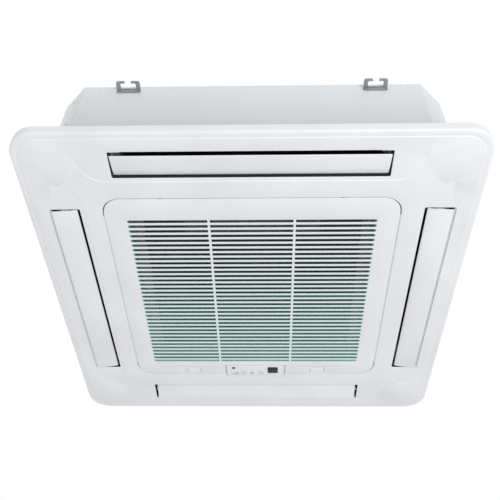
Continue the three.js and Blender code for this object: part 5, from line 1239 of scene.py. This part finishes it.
def screw_head():
    """A pan head with a cross recess, its seat at the origin and its crown up +Z."""
    head = Shell()
    sections = ((1, 0), (1, 0.7), (0.8, HEAD_RISE * 0.85), (0.55, HEAD_RISE))
    seat, *others = [head.loop(circle(HEAD_R * share, 16), z) for share, z in sections]
    crown = head.band(seat, *others)
    head.bm.faces.new(seat)
    head.fill(crown, cross_recess(head, HEAD_R * 0.42, HEAD_R * 0.12, HEAD_RISE, HEAD_RISE * 0.3))
    return pattern_piece(head)


UPPER_SCREW_XS, UPPER_SCREW_Z = (-330, -165, 0, 165, 330), 219
LOWER_SCREW_XS, LOWER_SCREW_Z = (-330, 0, 330), 14
CORNER_SCREW_ZS = (30, 120, 208)

scattered = scattered_tree("set_at_points")
zinc_screw = metal("zinc_screw", srgb(176, 178, 180), 0.38)
head_pattern = screw_head()
corner_middle = BODY_HALF - BODY_CHAMFER / 2
near_screws = [((x, -BODY_HALF, UPPER_SCREW_Z), (0, -1, 0)) for x in UPPER_SCREW_XS]
near_screws += [((x, -BODY_HALF, LOWER_SCREW_Z), (0, -1, 0)) for x in LOWER_SCREW_XS]
near_screws += [((corner_middle, -corner_middle, z), (1, -1, 0)) for z in CORNER_SCREW_ZS]
casing_screws = [quarter_turned(pair, quarter) for quarter in range(4) for pair in near_screws]
screws = grown(scattered, points_facing(casing_screws), Piece=head_pattern, Finish=painted_sheet)
fitted("casing_screws", screws, painted_sheet, "unit", slot="painted_sheet")


# ---------------------------------------------------------------- hanging brackets
# Thick zinc-coated plates, folded and spot-welded to the body. Each has a window for the washer and
# a mouth that slips over the hanging rod.

BRACKET_X, BRACKET_Y, BRACKET_Z = 271, -424.3, 211
BRACKET_HALF, BRACKET_REACH, BRACKET_THICK, BRACKET_LEG = 26, 23, 3, 9
CUT_HALF, CUT_NEAR, CUT_FAR, MOUTH_HALF = 17, 4.5, 18, 7

galvanised = metal("bracket_zinc", srgb(164, 166, 169), 0.5, 0.5, wear=0.2)
right_outside = [
    *arc(MOUTH_HALF + 1, -BRACKET_REACH + 1, 1, 180, 270, 2),
    *arc(BRACKET_HALF - 5, -BRACKET_REACH + 5, 5, -90, 0, 4),
    (BRACKET_HALF, 0),
]
right_inside = [
    (CUT_HALF - 3, -CUT_NEAR),
    *arc(CUT_HALF - 3, -CUT_NEAR - 3, 3, 90, 0, 3)[1:],
    *arc(CUT_HALF - 3, -CUT_FAR + 3, 3, 0, -90, 3),
    (MOUTH_HALF, -CUT_FAR),
]
left_outside, left_inside = ([(-x, y) for x, y in reversed(part)] for part in (right_outside, right_inside))
bracket_plan = right_outside + left_outside + left_inside + right_inside
for side, flip in (("near", 1), ("far", -1)):
    for end, hand in ((-1, "left"), (1, "right")):
        bracket = Shell()
        bracket.prism(bracket_plan, 0, BRACKET_THICK)
        bracket.block(-BRACKET_HALF, BRACKET_HALF, -BRACKET_THICK, 0, -BRACKET_LEG, BRACKET_THICK - 0.05, 0.9)
        turn = Matrix.Rotation(0 if flip > 0 else math.pi, 3, "Z")
        bracket.piece(f"rod_bracket_{side}_{hand}", galvanised, "unit", f"hanging_bracket_{side}_{hand}",
                      slot="galvanised", turn=turn, place=(end * BRACKET_X, flip * BRACKET_Y, BRACKET_Z))


# ---------------------------------------------------------------- insulation
# A block of expanded-bead foam fills the space under the lid, with a round hole for the fan's motor.
# A closed-cell foam sheet is glued round the inside of the casing, from the drain pan up.

LINING_HALF, FOAM_Z, FOAM_HOLE_R = 422.5, 208.5, 92


def bead_foam(name, colour, bead):
    """Moulded foam: flattened beads with darker joints between them."""
    finish = Finish(name, 0.85)
    spot = finish.at_scale(bead)
    cells = {"Vector": spot, "Scale": 1.0}
    edge = finish.node("ShaderNodeTexVoronoi", {"feature": "DISTANCE_TO_EDGE"}, cells)
    joint = finish.ramp(edge, 0.0, 0.14)
    darker = [c * 0.86 for c in colour[:3]] + [1]
    finish.feed("Base Color", finish.mix(darker, colour, joint))
    finish.feed("Roughness", 0.92 - 0.14 * joint)
    finish.bump(joint, 0.25, 0.7)
    return finish.material


white_foam = bead_foam("white_bead_foam", srgb(232, 233, 230), 4.5)
top_foam = Shell()
top_foam.prism(cut_square(LINING_HALF, BODY_CHAMFER), FOAM_Z, SIDE_TOP, holes=[circle(FOAM_HOLE_R, 72)])
top_foam.piece("lid_foam", white_foam, "unit", "top_insulation", slot="foam")


def softened(name, node, material, slot, edge):
    """A piece of the unit from a CAD node's shape, with its edges rounded off."""
    shape = bmesh.new()
    shape.from_mesh(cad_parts[node].data)
    bmesh.ops.remove_doubles(shape, verts=shape.verts, dist=0.02 * MM)
    bmesh.ops.dissolve_limit(shape, angle_limit=math.radians(1), verts=shape.verts, edges=shape.edges)
    rim = [e for e in shape.edges if e.is_manifold and e.calc_face_angle() > math.radians(25)]
    bmesh.ops.bevel(shape, geom=rim, offset=edge * MM, segments=2, affect="EDGES", clamp_overlap=True)
    bmesh.ops.recalc_face_normals(shape, faces=shape.faces)
    mesh = bpy.data.meshes.new(name)
    shape.to_mesh(mesh)
    shape.free()
    return fitted(name, mesh, material, "unit", node, slot=slot)


sheet_foam = Finish("closed_cell_sheet", 0.9)
pores = sheet_foam.noise(1.6, detail=3)
sheet_foam.feed("Base Color", sheet_foam.mix(srgb(84, 86, 88), srgb(112, 114, 116), pores))
sheet_foam.feed("Roughness", 0.8 + 0.15 * pores)
sheet_foam.bump(pores, 0.2, 0.7)
softened("side_foam", "side_insulation", sheet_foam.material, "grey_foam", edge=0.8)


# ---------------------------------------------------------------- heat exchanger and pipes
# Aluminium fins pressed on two rows of copper tubes that run round the fan, with return bends past
# the end plates. Copper headers join the tubes, and their pipes leave through the far face.

COIL_HALF, COIL_THICK, COIL_CORNER, COIL_Z0, COIL_Z1, COIL_END = 304, 36, 70, 36, 205, 200
FIN_PITCH, FIN_THICK = 3, 0.25
TUBE_R, TUBE_ROWS, TUBE_COUNT = 3.5, (-9, 9), 8
PLATE_FACE = 202.3  # the outside of the two end plates, where the tubes come through
HEADER_Y, HEADER_MIDDLE, HEADER_Z0, HEADER_Z1 = 225, 286, 48, 194
STUB_R, STUB_COUNT, STUB_FROM = 3.2, 6, 202.6
GAS_PIPE_R, LIQUID_PIPE_R, PIPE_END = 8, 4.8, 454
NUT_Y0, NUT_Y1 = 438, 453


def swept(shell, points, r, steps=12):
    """A round bar along a path. Its radius is one number, or one for each point."""
    radii = r if isinstance(r, list) else [r] * len(points)
    points = [Vector(p) for p in points]
    across = None
    rings = []
    for i, point in enumerate(points):
        way = (points[min(i + 1, len(points) - 1)] - points[max(i - 1, 0)]).normalized()
        if across is None:
            across = way.orthogonal().normalized()
        across = (across - way * across.dot(way)).normalized()
        beside = way.cross(across)
        ring = []
        for k in range(steps):
            a = 2 * math.pi * k / steps
            ring.append(shell.bm.verts.new(point + radii[i] * (math.cos(a) * across + math.sin(a) * beside)))
        rings.append(ring)
    shell.band(*rings)
    shell.bm.faces.new(rings[0])
    shell.bm.faces.new(rings[-1])


def coil_path(offset, spacing):
    """Places and directions along the ring, from its right end round to its far end."""
    half = COIL_HALF - COIL_THICK / 2 + offset
    r = COIL_CORNER - COIL_THICK / 2 + offset
    flat = half - r
    legs = [
        ("line", (half, COIL_END), (half, -flat)),
        ("bend", (flat, -flat), 0),
        ("line", (flat, -half), (-flat, -half)),
        ("bend", (-flat, -flat), -90),
        ("line", (-half, -flat), (-half, flat)),
        ("bend", (-flat, flat), -180),
        ("line", (-flat, half), (COIL_END, half)),
    ]
    path = []
    for kind, start, stop in legs:
        if kind == "line":
            start, stop = Vector(start), Vector(stop)
            count = max(1, round((stop - start).length / spacing))
            way = (stop - start).normalized()
            path += [(start + (stop - start) * (i / count), way) for i in range(count)]
        else:
            count = max(4, round(math.pi / 2 * r / spacing))
            for i in range(count):
                a = math.radians(stop - 90 * i / count)
                outward = Vector((math.cos(a), math.sin(a)))
                path.append((Vector(start) + r * outward, Vector((math.sin(a), -math.cos(a)))))
    path.append((Vector((COIL_END, half)), Vector((1, 0))))
    return path


fin_finish = metal("fin_aluminium", srgb(190, 194, 196), 0.4, wear=0.1, streak=(1, 1, 20))
fin = Shell()
fin.block(-FIN_THICK / 2, FIN_THICK / 2, -COIL_THICK / 2, COIL_THICK / 2, COIL_Z0, COIL_Z1, 0)
standing = scattered_tree("stand_at_points", axis="X", pivot="Z")
fin_places = [((p.x, p.y, 0), (way.x, way.y, 0)) for p, way in coil_path(0, FIN_PITCH)[:-1]]
fins = grown(standing, points_facing(fin_places), Piece=pattern_piece(fin), Finish=fin_finish)
fitted("coil_fins", fins, fin_finish, "unit", "evaporator_coil", slot="fins")

copper = metal("drawn_copper", srgb(196, 128, 96), 0.3, wear=0.3, streak=(1, 1, 6))
tubes = Shell()
tube_step = (COIL_Z1 - COIL_Z0) / TUBE_COUNT
for row_offset in TUBE_ROWS:
    for i in range(TUBE_COUNT):
        z = COIL_Z0 + (i + 0.5) * tube_step
        run = [(p.x, p.y, z) for p, way in coil_path(row_offset, 14)]
        run[0] = (run[0][0], PLATE_FACE, z)
        run[-1] = (PLATE_FACE, run[-1][1], z)
        swept(tubes, run, TUBE_R, 8)
        if i % 2 == 0:
            middle = HEADER_MIDDLE + row_offset
            bend = [(PLATE_FACE - 1, z)] + arc(PLATE_FACE, z + tube_step / 2, tube_step / 2, -90, 90, 8)
            bend += [(PLATE_FACE - 1, z + tube_step)]
            swept(tubes, [(middle, y, h) for y, h in bend], TUBE_R, 8)
            swept(tubes, [(x, middle, h) for x, h in bend], TUBE_R, 8)
tubes.piece("coil_tubes", copper, "unit", slot="copper")

zinc_sheet = Finish("zinc_coated_sheet", 0.42, 0.85)
spangle_cells = {"Vector": zinc_sheet.at_scale(9), "Scale": 1.0}
spangle = zinc_sheet.node("ShaderNodeTexVoronoi", None, spangle_cells, output="Color")
crystal = zinc_sheet.node("ShaderNodeSeparateColor", None, {0: spangle}, output="Red")
zinc_sheet.feed("Base Color", zinc_sheet.mix(srgb(150, 153, 156), srgb(186, 188, 190), crystal))
zinc_sheet.feed("Roughness", 0.36 + 0.14 * crystal)
zinc_sheet.bump(crystal, 0.02, 0.4)

for side in ("right", "far"):
    softened(f"end_plate_{side}", f"coil_end_plate_{side}", zinc_sheet.material, "galvanised", edge=0.4)
softened("corner_baffle", "coil_baffle", zinc_sheet.material, "galvanised", edge=0.3)


def hexagon_nut(r, bore_r, low, high, chamfer):
    """A nut that stands on Z, with its corners taken off and a plain bore."""
    made = Shell()
    sides = [
        made.loop([(x * share, y * share) for x, y in circle(r, 6)], z)
        for share, z in ((0.88, low), (0.99, low + chamfer), (0.99, high - chamfer), (0.88, high))
    ]
    bore = [made.loop(circle(bore_r, 24), z) for z in (high, low)]
    made.band(*sides)
    made.band(*bore)
    made.fill(sides[-1], bore[0])
    made.fill(sides[0], bore[1])
    return made


brass = metal("turned_brass", srgb(206, 172, 96), 0.28, wear=0.2, streak=(8, 1, 8))
headers = (
    ("gas", (HEADER_MIDDLE, HEADER_Y), "Y", GAS_PIPE_R, GAS_Z, 15),
    ("liquid", (HEADER_Y, HEADER_MIDDLE), "X", LIQUID_PIPE_R, LIQUID_Z, 11),
)
for name, (x, y), stub_way, r, z, nut_r in headers:
    header = Shell()
    dome = [(0, 0), ((r + 1) * 0.6, 0.5), ((r + 1) * 0.9, 2.2), (r + 1, 5)]
    ends = [(p, HEADER_Z0 + h) for p, h in dome] + [(p, HEADER_Z1 - h) for p, h in reversed(dome)]
    header.turned(ends, x, y, steps=32, closed=False)
    for i in range(STUB_COUNT):
        h = HEADER_Z0 + (i + 0.5) * (HEADER_Z1 - HEADER_Z0) / STUB_COUNT
        stub = [(STUB_R, STUB_FROM), (STUB_R, HEADER_Y - r), (STUB_R + 0.8, HEADER_Y - r + 1), (0, HEADER_Y)]
        header.turned([(0, STUB_FROM), *stub], HEADER_MIDDLE, h, axis=stub_way, steps=12, closed=False)
    inner_r = r - 1.2
    pipe = [(0, y), (r, y), (r, PIPE_END - 0.6), (r - 0.6, PIPE_END), (inner_r, PIPE_END)]
    header.turned([*pipe, (inner_r, NUT_Y0), (0, NUT_Y0)], x, z, axis="Y", steps=32, closed=False)
    header.piece(f"{name}_header_pipes", copper, "unit", f"{name}_header", slot="copper")
    flare_nut = hexagon_nut(nut_r, r + 0.3, NUT_Y0, NUT_Y1, 1.2)
    flare_nut.piece(f"{name}_nut", brass, "unit", f"{name}_flare_nut", slot="brass",
                    turn=Matrix.Rotation(-math.pi / 2, 3, "X"), place=(x, 0, z))


# ---------------------------------------------------------------- drain pan
# A deep tray of moulded foam under the heat exchanger. It catches the water, and its four long
# openings lead the cooled air down to the panel's outlets.

softened("foam_drain_pan", "drain_pan", white_foam, "foam", edge=1.2)


# ---------------------------------------------------------------- bell mouth
# A black moulded plate across the room behind the filter, with a wide flared mouth that leads the
# air up into the fan. It is screwed to the drain pan's ledge from below.

BELL_PLATE_HALF, BELL_Z0, BELL_Z1, BELL_CORNER = 247, 36, 39, 8
BELL_R, THROAT_R, FLARE_Z, THROAT_Z, BELL_WALL = 214, 172, 80, 88, 2.5

black_plastic = moulded_plastic("black_plastic", srgb(34, 36, 39), 0.5, drift=0.15)
bell = Shell()


def flare(inset):
    """The mouth's curve in section, a quarter of an ellipse from the plate up to the throat."""
    wide = BELL_R - THROAT_R - inset
    high = FLARE_Z - BELL_Z0 - 0.25 - inset
    angles = [math.radians(7.5 * k) for k in range(1, 13)]
    return [(BELL_R - wide * math.sin(a), FLARE_Z - high * math.cos(a)) for a in angles]


flare_section = [(BELL_R + BELL_WALL, BELL_Z0), *flare(0)]
flare_section += [(THROAT_R, THROAT_Z - 0.5), (THROAT_R + 0.5, THROAT_Z), (THROAT_R + 2, THROAT_Z)]
flare_section += [(THROAT_R + BELL_WALL, THROAT_Z - 0.5), *reversed(flare(BELL_WALL))]
flare_section += [(BELL_R + BELL_WALL + 2, BELL_Z1)]
bell_rings = [bell.loop(circle(r, 96), z) for r, z in flare_section]
bell.band(*bell_rings)
bell_plate = [
    bell.loop(rounded(BELL_PLATE_HALF - inset, BELL_PLATE_HALF - inset, BELL_CORNER - inset), z)
    for inset, z in ((0.4, BELL_Z0), (0, BELL_Z0 + 0.4), (0, BELL_Z1 - 0.4), (0.4, BELL_Z1))
]
bell.band(*bell_plate)
bell.fill(bell_plate[0], bell_rings[0])
bell.fill(bell_plate[-1], bell_rings[-1])
bell.piece("fan_bell_mouth", black_plastic, "unit", "bell_mouth", slot="black_plastic")
BELL_SCREW_LINE, SIDE_SCREW_YS, FAR_SCREW_XS = 240, (-150, 0, 150, 232), (-120, 0, 120)
plate_spots = [(end * BELL_SCREW_LINE, y, BELL_Z0) for end in (-1, 1) for y in SIDE_SCREW_YS]
plate_spots += [(x, BELL_SCREW_LINE, BELL_Z0) for x in FAR_SCREW_XS]


# ---------------------------------------------------------------- fan and its motor
# A dark moulded wheel with seven curved blades between a cupped back plate and a shroud ring. A nut
# holds it on the motor's shaft, and the motor hangs from a steel plate on four posts.

FAN_R, FAN_EYE_R, FAN_Z0, FAN_Z1, FAN_WALL = 232, 178, 84, 196, 2.5
BLADE_COUNT, BLADE_SWEEP, BLADE_THICK = 7, 0.95, 4.6
BLADE_ROOT_R, BLADE_ROOT_Z, BLADE_TOP_R, BLADE_TOP_Z = 112, 146, 98, 194.75
SHROUD = [
    (FAN_EYE_R, FAN_Z0), (178.8, 88), (181, 92.5), (186, 98), (193, 104.3), (202, 110), (216, 115.6),
    (FAN_R, 119.5),
]

fan_plastic = moulded_plastic("fan_plastic", srgb(62, 65, 69), 0.45, drift=0.1)
wheel = Shell()
hub = [
    (5.3, 102), (13, 102), (14, 102.3), (56, 105.2), (60, 106.6), (72.6, 122.2), (74.5, 126.5), (86, 190.5),
    (89, 193.5), (FAN_R - 0.6, 193.5), (FAN_R, 194.1), (FAN_R, 195.4), (FAN_R - 0.6, FAN_Z1), (84, FAN_Z1),
    (72, 126.5), (57, 108.5), (14, 107), (13, 116), (5.3, 116),
]
wheel.turned(hub, steps=96)
upper_side = [(r, z + FAN_WALL + (1 if r < 210 else 0)) for r, z in SHROUD]
wheel.turned(SHROUD + upper_side[::-1], steps=96)


def blade_foot(r):
    """The height of a blade's lower edge: straight out to the shroud, and then along it."""
    line = [(BLADE_ROOT_R, BLADE_ROOT_Z)] + [(p, z + 1.4) for p, z in SHROUD[3:]]
    for (r0, z0), (r1, z1) in zip(line, line[1:]):
        if r <= r1:
            return z0 + (z1 - z0) * (r - r0) / (r1 - r0)
    return line[-1][1]


BLADE_STEPS, BLADE_RISES = 16, 6
for index in range(BLADE_COUNT):
    turn = Matrix.Rotation(2 * math.pi * index / BLADE_COUNT, 3, "Z")
    faces = []
    for side in (-1, 1):
        grid = []
        for i in range(BLADE_STEPS + 1):
            u = i / BLADE_STEPS
            low_r = BLADE_ROOT_R + (FAN_R - 1 - BLADE_ROOT_R) * u
            high_r = BLADE_TOP_R + (FAN_R - 1 - BLADE_TOP_R) * u
            fullness = 0.25 + 0.75 * math.sin(math.pi * (0.12 + 0.8 * u) ** 0.7)
            half = side * BLADE_THICK / 2 * fullness
            column = []
            for k in range(BLADE_RISES + 1):
                t = k / BLADE_RISES
                r = low_r + (high_r - low_r) * t
                z = blade_foot(low_r) + (BLADE_TOP_Z - blade_foot(low_r)) * t
                share = max(0.0, (r - BLADE_TOP_R) / (FAN_R + 1 - BLADE_TOP_R))
                a = -BLADE_SWEEP * share ** 1.2
                spot = Vector((r * math.cos(a) - half * math.sin(a), r * math.sin(a) + half * math.cos(a), z))
                column.append(wheel.bm.verts.new(turn @ spot))
            grid.append(column)
        wheel.band(*grid, closed=False)
        faces.append(grid)
    front, back = faces
    rims = [
        ([c[0] for c in front], [c[0] for c in back]),
        ([c[-1] for c in front], [c[-1] for c in back]),
        (front[0], back[0]),
        (front[-1], back[-1]),
    ]
    for a, b in rims:
        wheel.band(a, b, closed=False)
wheel.piece("fan_rotor", fan_plastic, "fan", "fan_wheel", slot="fan_plastic", sharp=40)

shaft = Shell()
shaft.turned([(0, 94), (4.2, 94), (5, 94.8), (5, 156.5), (4.5, 157), (0, 157)], steps=32, closed=False)
shaft.piece("drive_shaft", steel, "fan", "motor_shaft", slot="steel")
nut = hexagon_nut(9, 5.3, 93.7, 101.7, 1.1)
nut.piece("wheel_nut", zinc_screw, "fan", "fan_nut", slot="steel")

MOTOR_R, MOTOR_Z0, MOTOR_Z1 = 62, 132, 206
GROOVE_R = 60.6  # of the two rolled grooves round the can
motor = Shell()
can = [
    (5.3, MOTOR_Z0), (52, MOTOR_Z0), (59, MOTOR_Z0 + 1.5), (MOTOR_R, MOTOR_Z0 + 5),
    (MOTOR_R, 150), (GROOVE_R, 151), (GROOVE_R, 155), (MOTOR_R, 156),
    (MOTOR_R, 182), (GROOVE_R, 183), (GROOVE_R, 187), (MOTOR_R, 188),
    (MOTOR_R, MOTOR_Z1 - 4), (59, MOTOR_Z1 - 0.8), (54, MOTOR_Z1), (0, MOTOR_Z1), (0, 158), (5.3, 158),
]
motor.turned(can, steps=64)
motor.piece("motor_can", zinc_sheet.material, "unit", "fan_motor", slot="galvanised")
POST_XY = 52.3
mount = Shell()
disc = [(0, 206.3), (81.2, 206.3), (82, 207.1), (82, 208), (81.2, 208.8)]
mount.turned([*disc, (20, 208.8), (18, 208.1), (0, 208.1)], steps=64, closed=False)
post = [(0, 207), (7, 207), (7, 210), (5.6, 212), (5.6, 224), (7, 225.4), (7, 226.5), (0, 226.5)]
for x in (-POST_XY, POST_XY):
    for y in (-POST_XY, POST_XY):
        mount.turned(post, x, y, steps=24, closed=False)
mount.piece("motor_mount", zinc_sheet.material, "unit", "motor_bracket", slot="galvanised")


# ---------------------------------------------------------------- drain pump, hose and float switch
# The pump hangs by a tab in the corner where the pipes leave, with its foot in the pan's well. A
# corrugated hose lifts the water to the socket, and a ring on the switch's stem floats if it fails.

PUMP_XY, PUMP_R, PUMP_Z0, PUMP_Z1 = 345, 25, 96, 160
FLOAT_X, FLOAT_Y, FLOAT_R = 382, 326, 9
HOSE_R, HOSE_PITCH = 9, 3.4

grey_plastic = moulded_plastic("grey_plastic", srgb(190, 193, 194), 0.5)
pump = Shell()
pump_can = [
    (0, PUMP_Z0), (22, PUMP_Z0), (24, PUMP_Z0 + 1), (PUMP_R, PUMP_Z0 + 3),
    (PUMP_R, 112), (23.8, 112.6), (23.8, 115), (PUMP_R, 115.6),
    (PUMP_R, 141), (23.4, 142), (23.4, PUMP_Z1 - 3), (21, PUMP_Z1), (0, PUMP_Z1),
]
pump.turned(pump_can, PUMP_XY, PUMP_XY, steps=40, closed=False)
foot = [(0, 30), (8, 30), (9, 31), (9, 44), (11, 47), (11, 97), (0, 97)]
pump.turned(foot, PUMP_XY, PUMP_XY, steps=32, closed=False)
diagonal = Matrix.Rotation(math.pi / 4, 2)
corners = ((0, -17), (60.2, -17), (60.2, 17), (0, 17))
tab = [diagonal @ Vector(p) + Vector((PUMP_XY, PUMP_XY)) for p in corners]
pump.prism(tab, 132, 135, edge=0.8)
pump.piece("lift_pump", grey_plastic, "unit", "drain_pump", slot="grey_plastic")

hose_marks = [Vector(p) for p in (
    (345, 319.7, 108), (345, 303.7, 108), (347, 287.7, 124), (353, 289.7, 160),
    (369, 326, 182), (396.5, 338, 186), (414.5, 338, 186),
)]
hose_line = []  # a smooth curve through the marks
for i in range(len(hose_marks) - 1):
    before, start = hose_marks[max(0, i - 1)], hose_marks[i]
    stop, after = hose_marks[i + 1], hose_marks[min(len(hose_marks) - 1, i + 2)]
    for k in range(24):
        t = k / 24
        curve = 2 * start + (stop - before) * t
        curve += (2 * before - 5 * start + 4 * stop - after) * t ** 2
        curve += (3 * start - before - 3 * stop + after) * t ** 3
        hose_line.append(curve / 2)
hose_line.append(hose_marks[-1])
gone = [0.0]
for a, b in zip(hose_line, hose_line[1:]):
    gone.append(gone[-1] + (b - a).length)
hose_radii = [HOSE_R - 0.55 + 0.5 * math.cos(2 * math.pi * length / HOSE_PITCH) for length in gone]
hose = Shell()
swept(hose, hose_line, hose_radii, 20)
hose.piece("corrugated_hose", grey_plastic, "unit", "drain_hose", slot="grey_plastic")

socket = Shell()
spout = [(13, 402.5), (15.6, 402.5), (16, 402.9), (16, 428), (16, 444), (15.2, 445), (15.2, 448), (16, 449)]
socket.turned([*spout, (16, 456.8), (15, 458), (13, 458)], SOCKET_Y, SOCKET_Z, axis="X", steps=40)
socket.piece("drain_spout", grey_plastic, "unit", "drain_socket", slot="grey_plastic")

switch = Shell()
rod = [(0, 32), (5, 32), (5.5, 32.5), (5.5, 39.2), (5, 39.7), (3, 39.7), (3, 78), (7.4, 78), (8, 78.6)]
switch.turned([*rod, (8, 90), (6, 92), (0, 92)], FLOAT_X, FLOAT_Y, steps=24, closed=False)
switch.block(FLOAT_X, 410.2, FLOAT_Y - 6, FLOAT_Y + 6, 80, 84, 0.8)
switch.piece("float_switch_stem", grey_plastic, "unit", "float_switch", slot="grey_plastic")
ring = Shell()
section = [(3.3, 40), (8, 40), (FLOAT_R, 41), (FLOAT_R, 55), (8, 56), (3.3, 56)]
ring.turned(section, FLOAT_X, FLOAT_Y, steps=32)
ring.piece("float_collar", white_plastic, "float_ring", "float", slot="white_plastic")


# ---------------------------------------------------------------- control box
# A zinc-coated box beside the bell mouth, closed by a folded cover with three screws. Inside it the
# circuit board hangs on four posts, with the terminals, a relay, a transformer and a capacitor.

BOX_Y0, BOX_Y1, BOX_COVER_Z = -246, -181, 3.8
BOARD_X, BOARD_Y0, BOARD_Y1, BOARD_Z0, BOARD_Z1 = 140, -240.8, -186.2, 23.6, 25.2
POST_INSET, POST_Z1 = 8, 34.2
PART_Y0, PART_Y1, PART_TOP = -230.8, -196.2, BOARD_Z0 + 0.5  # the parts stand a little into the board
TERMINAL_COUNT, TERMINAL_X, TERMINAL_PITCH = 6, -110, 50 / 6

softened("control_housing", "control_box", zinc_sheet.material, "galvanised", edge=0.3)
softened("control_cover", "control_box_cover", zinc_sheet.material, "galvanised", edge=0.35)
plate_spots += [(x, (BOX_Y0 + BOX_Y1) / 2, BOX_COVER_Z) for x in (-140, 0, 140)]
plate_screws = [(spot, (0, 0, -1)) for spot in plate_spots]
interior_screws = grown(scattered, points_facing(plate_screws), Piece=head_pattern, Finish=zinc_screw)
fitted("interior_screws", interior_screws, zinc_screw, "unit", slot="steel")

lacquer = Finish("green_lacquer", 0.3, Coat_Weight=0.4, Coat_Roughness=0.1)
traces = lacquer.node("ShaderNodeTexBrick", None, {
    "Vector": lacquer.at_scale(9),
    "Scale": 1.0,
    "Mortar Size": 0.05,
    "Color1": srgb(38, 104, 66),
    "Color2": srgb(30, 92, 58),
    "Mortar": srgb(58, 132, 84),
})
lacquer.feed("Base Color", traces)
board = Shell()
board.block(-BOARD_X, BOARD_X, BOARD_Y0, BOARD_Y1, BOARD_Z0, BOARD_Z1, 0.3)
board_post = [(0, 24), (3, 24), (3, POST_Z1 - 0.4), (2.6, POST_Z1), (0, POST_Z1)]
for x in (POST_INSET - BOARD_X, BOARD_X - POST_INSET):
    for y in (BOARD_Y0 + POST_INSET, BOARD_Y1 - POST_INSET):
        board.turned(board_post, x, y, steps=16, closed=False)
board.piece("control_board", lacquer.material, "unit", "circuit_board", slot="circuit_board")
parts = Shell()
parts.block(-30, -8, PART_Y0, PART_Y0 + 22, 13.6, PART_TOP, 0.8)  # relay
parts.block(70, 130, PART_Y0, PART_Y0 + 20, 10.6, PART_TOP, 0.8)  # transformer
parts.block(84, 116, PART_Y0 - 2, PART_Y0 + 22, 12, PART_TOP, 0.8)
capacitor = [(0, 9.6), (7.8, 9.6), (9, 10.4), (9, 12), (8.5, 12.5), (9, 13), (9, PART_TOP), (0, PART_TOP)]
parts.turned(capacitor, 30, PART_Y1 - 9, steps=24, closed=False)
for step in range(TERMINAL_COUNT):
    x = TERMINAL_X + step * TERMINAL_PITCH
    parts.block(x + 0.3, x + TERMINAL_PITCH - 0.3, PART_Y0, PART_Y1, 11.6, PART_TOP, 0.7)
parts.piece("board_parts", black_plastic, "unit", slot="black_plastic")


# ---------------------------------------------------------------- panel brackets and screws
# A zinc-coated strap crosses each corner under the drain pan. The panel's long screws, reached with
# the door open, go up through the panel's tabs into the straps.

SCREW_HEAD_Z, SCREW_SEAT_Z, SCREW_END_Z = -4.6, -1.6, 14
THREAD_STEPS, THREAD_ROOT_R, THREAD_CREST_R = 12, 1.9, 2.4

for depth, width in (("near", "left"), ("near", "right"), ("far", "left"), ("far", "right")):
    corner = f"{depth}_{width}"
    softened(f"panel_strap_{corner}", f"panel_bracket_{corner}", zinc_sheet.material, "galvanised", edge=0.35)
    x = SCREW_XY if width == "right" else -SCREW_XY
    y = SCREW_XY if depth == "far" else -SCREW_XY
    sections = [(3.4, SCREW_HEAD_Z), (5.3, SCREW_HEAD_Z + 0.6), (6, SCREW_HEAD_Z + 1.8), (6, SCREW_SEAT_Z)]
    sections.append((THREAD_CREST_R, SCREW_SEAT_Z))
    for k in range(THREAD_STEPS):
        rise = (SCREW_END_Z - SCREW_SEAT_Z - 3) * k / (THREAD_STEPS - 1)
        sections.append((THREAD_CREST_R if k % 2 else THREAD_ROOT_R, SCREW_SEAT_Z + 1 + rise))
    sections.append((1.2, SCREW_END_Z))
    bolt = Shell()
    crown, *others = [bolt.loop(circle(r, 16), z) for r, z in sections]
    tip = bolt.band(crown, *others)
    bolt.bm.faces.new(tip)
    bolt.fill(crown, cross_recess(bolt, 2.6, 0.7, SCREW_HEAD_Z, SCREW_HEAD_Z + 1.6))
    bolt.piece(f"panel_bolt_{corner}", zinc_screw, "unit", f"panel_screw_{corner}", slot="steel",
               place=(x, y, 0))
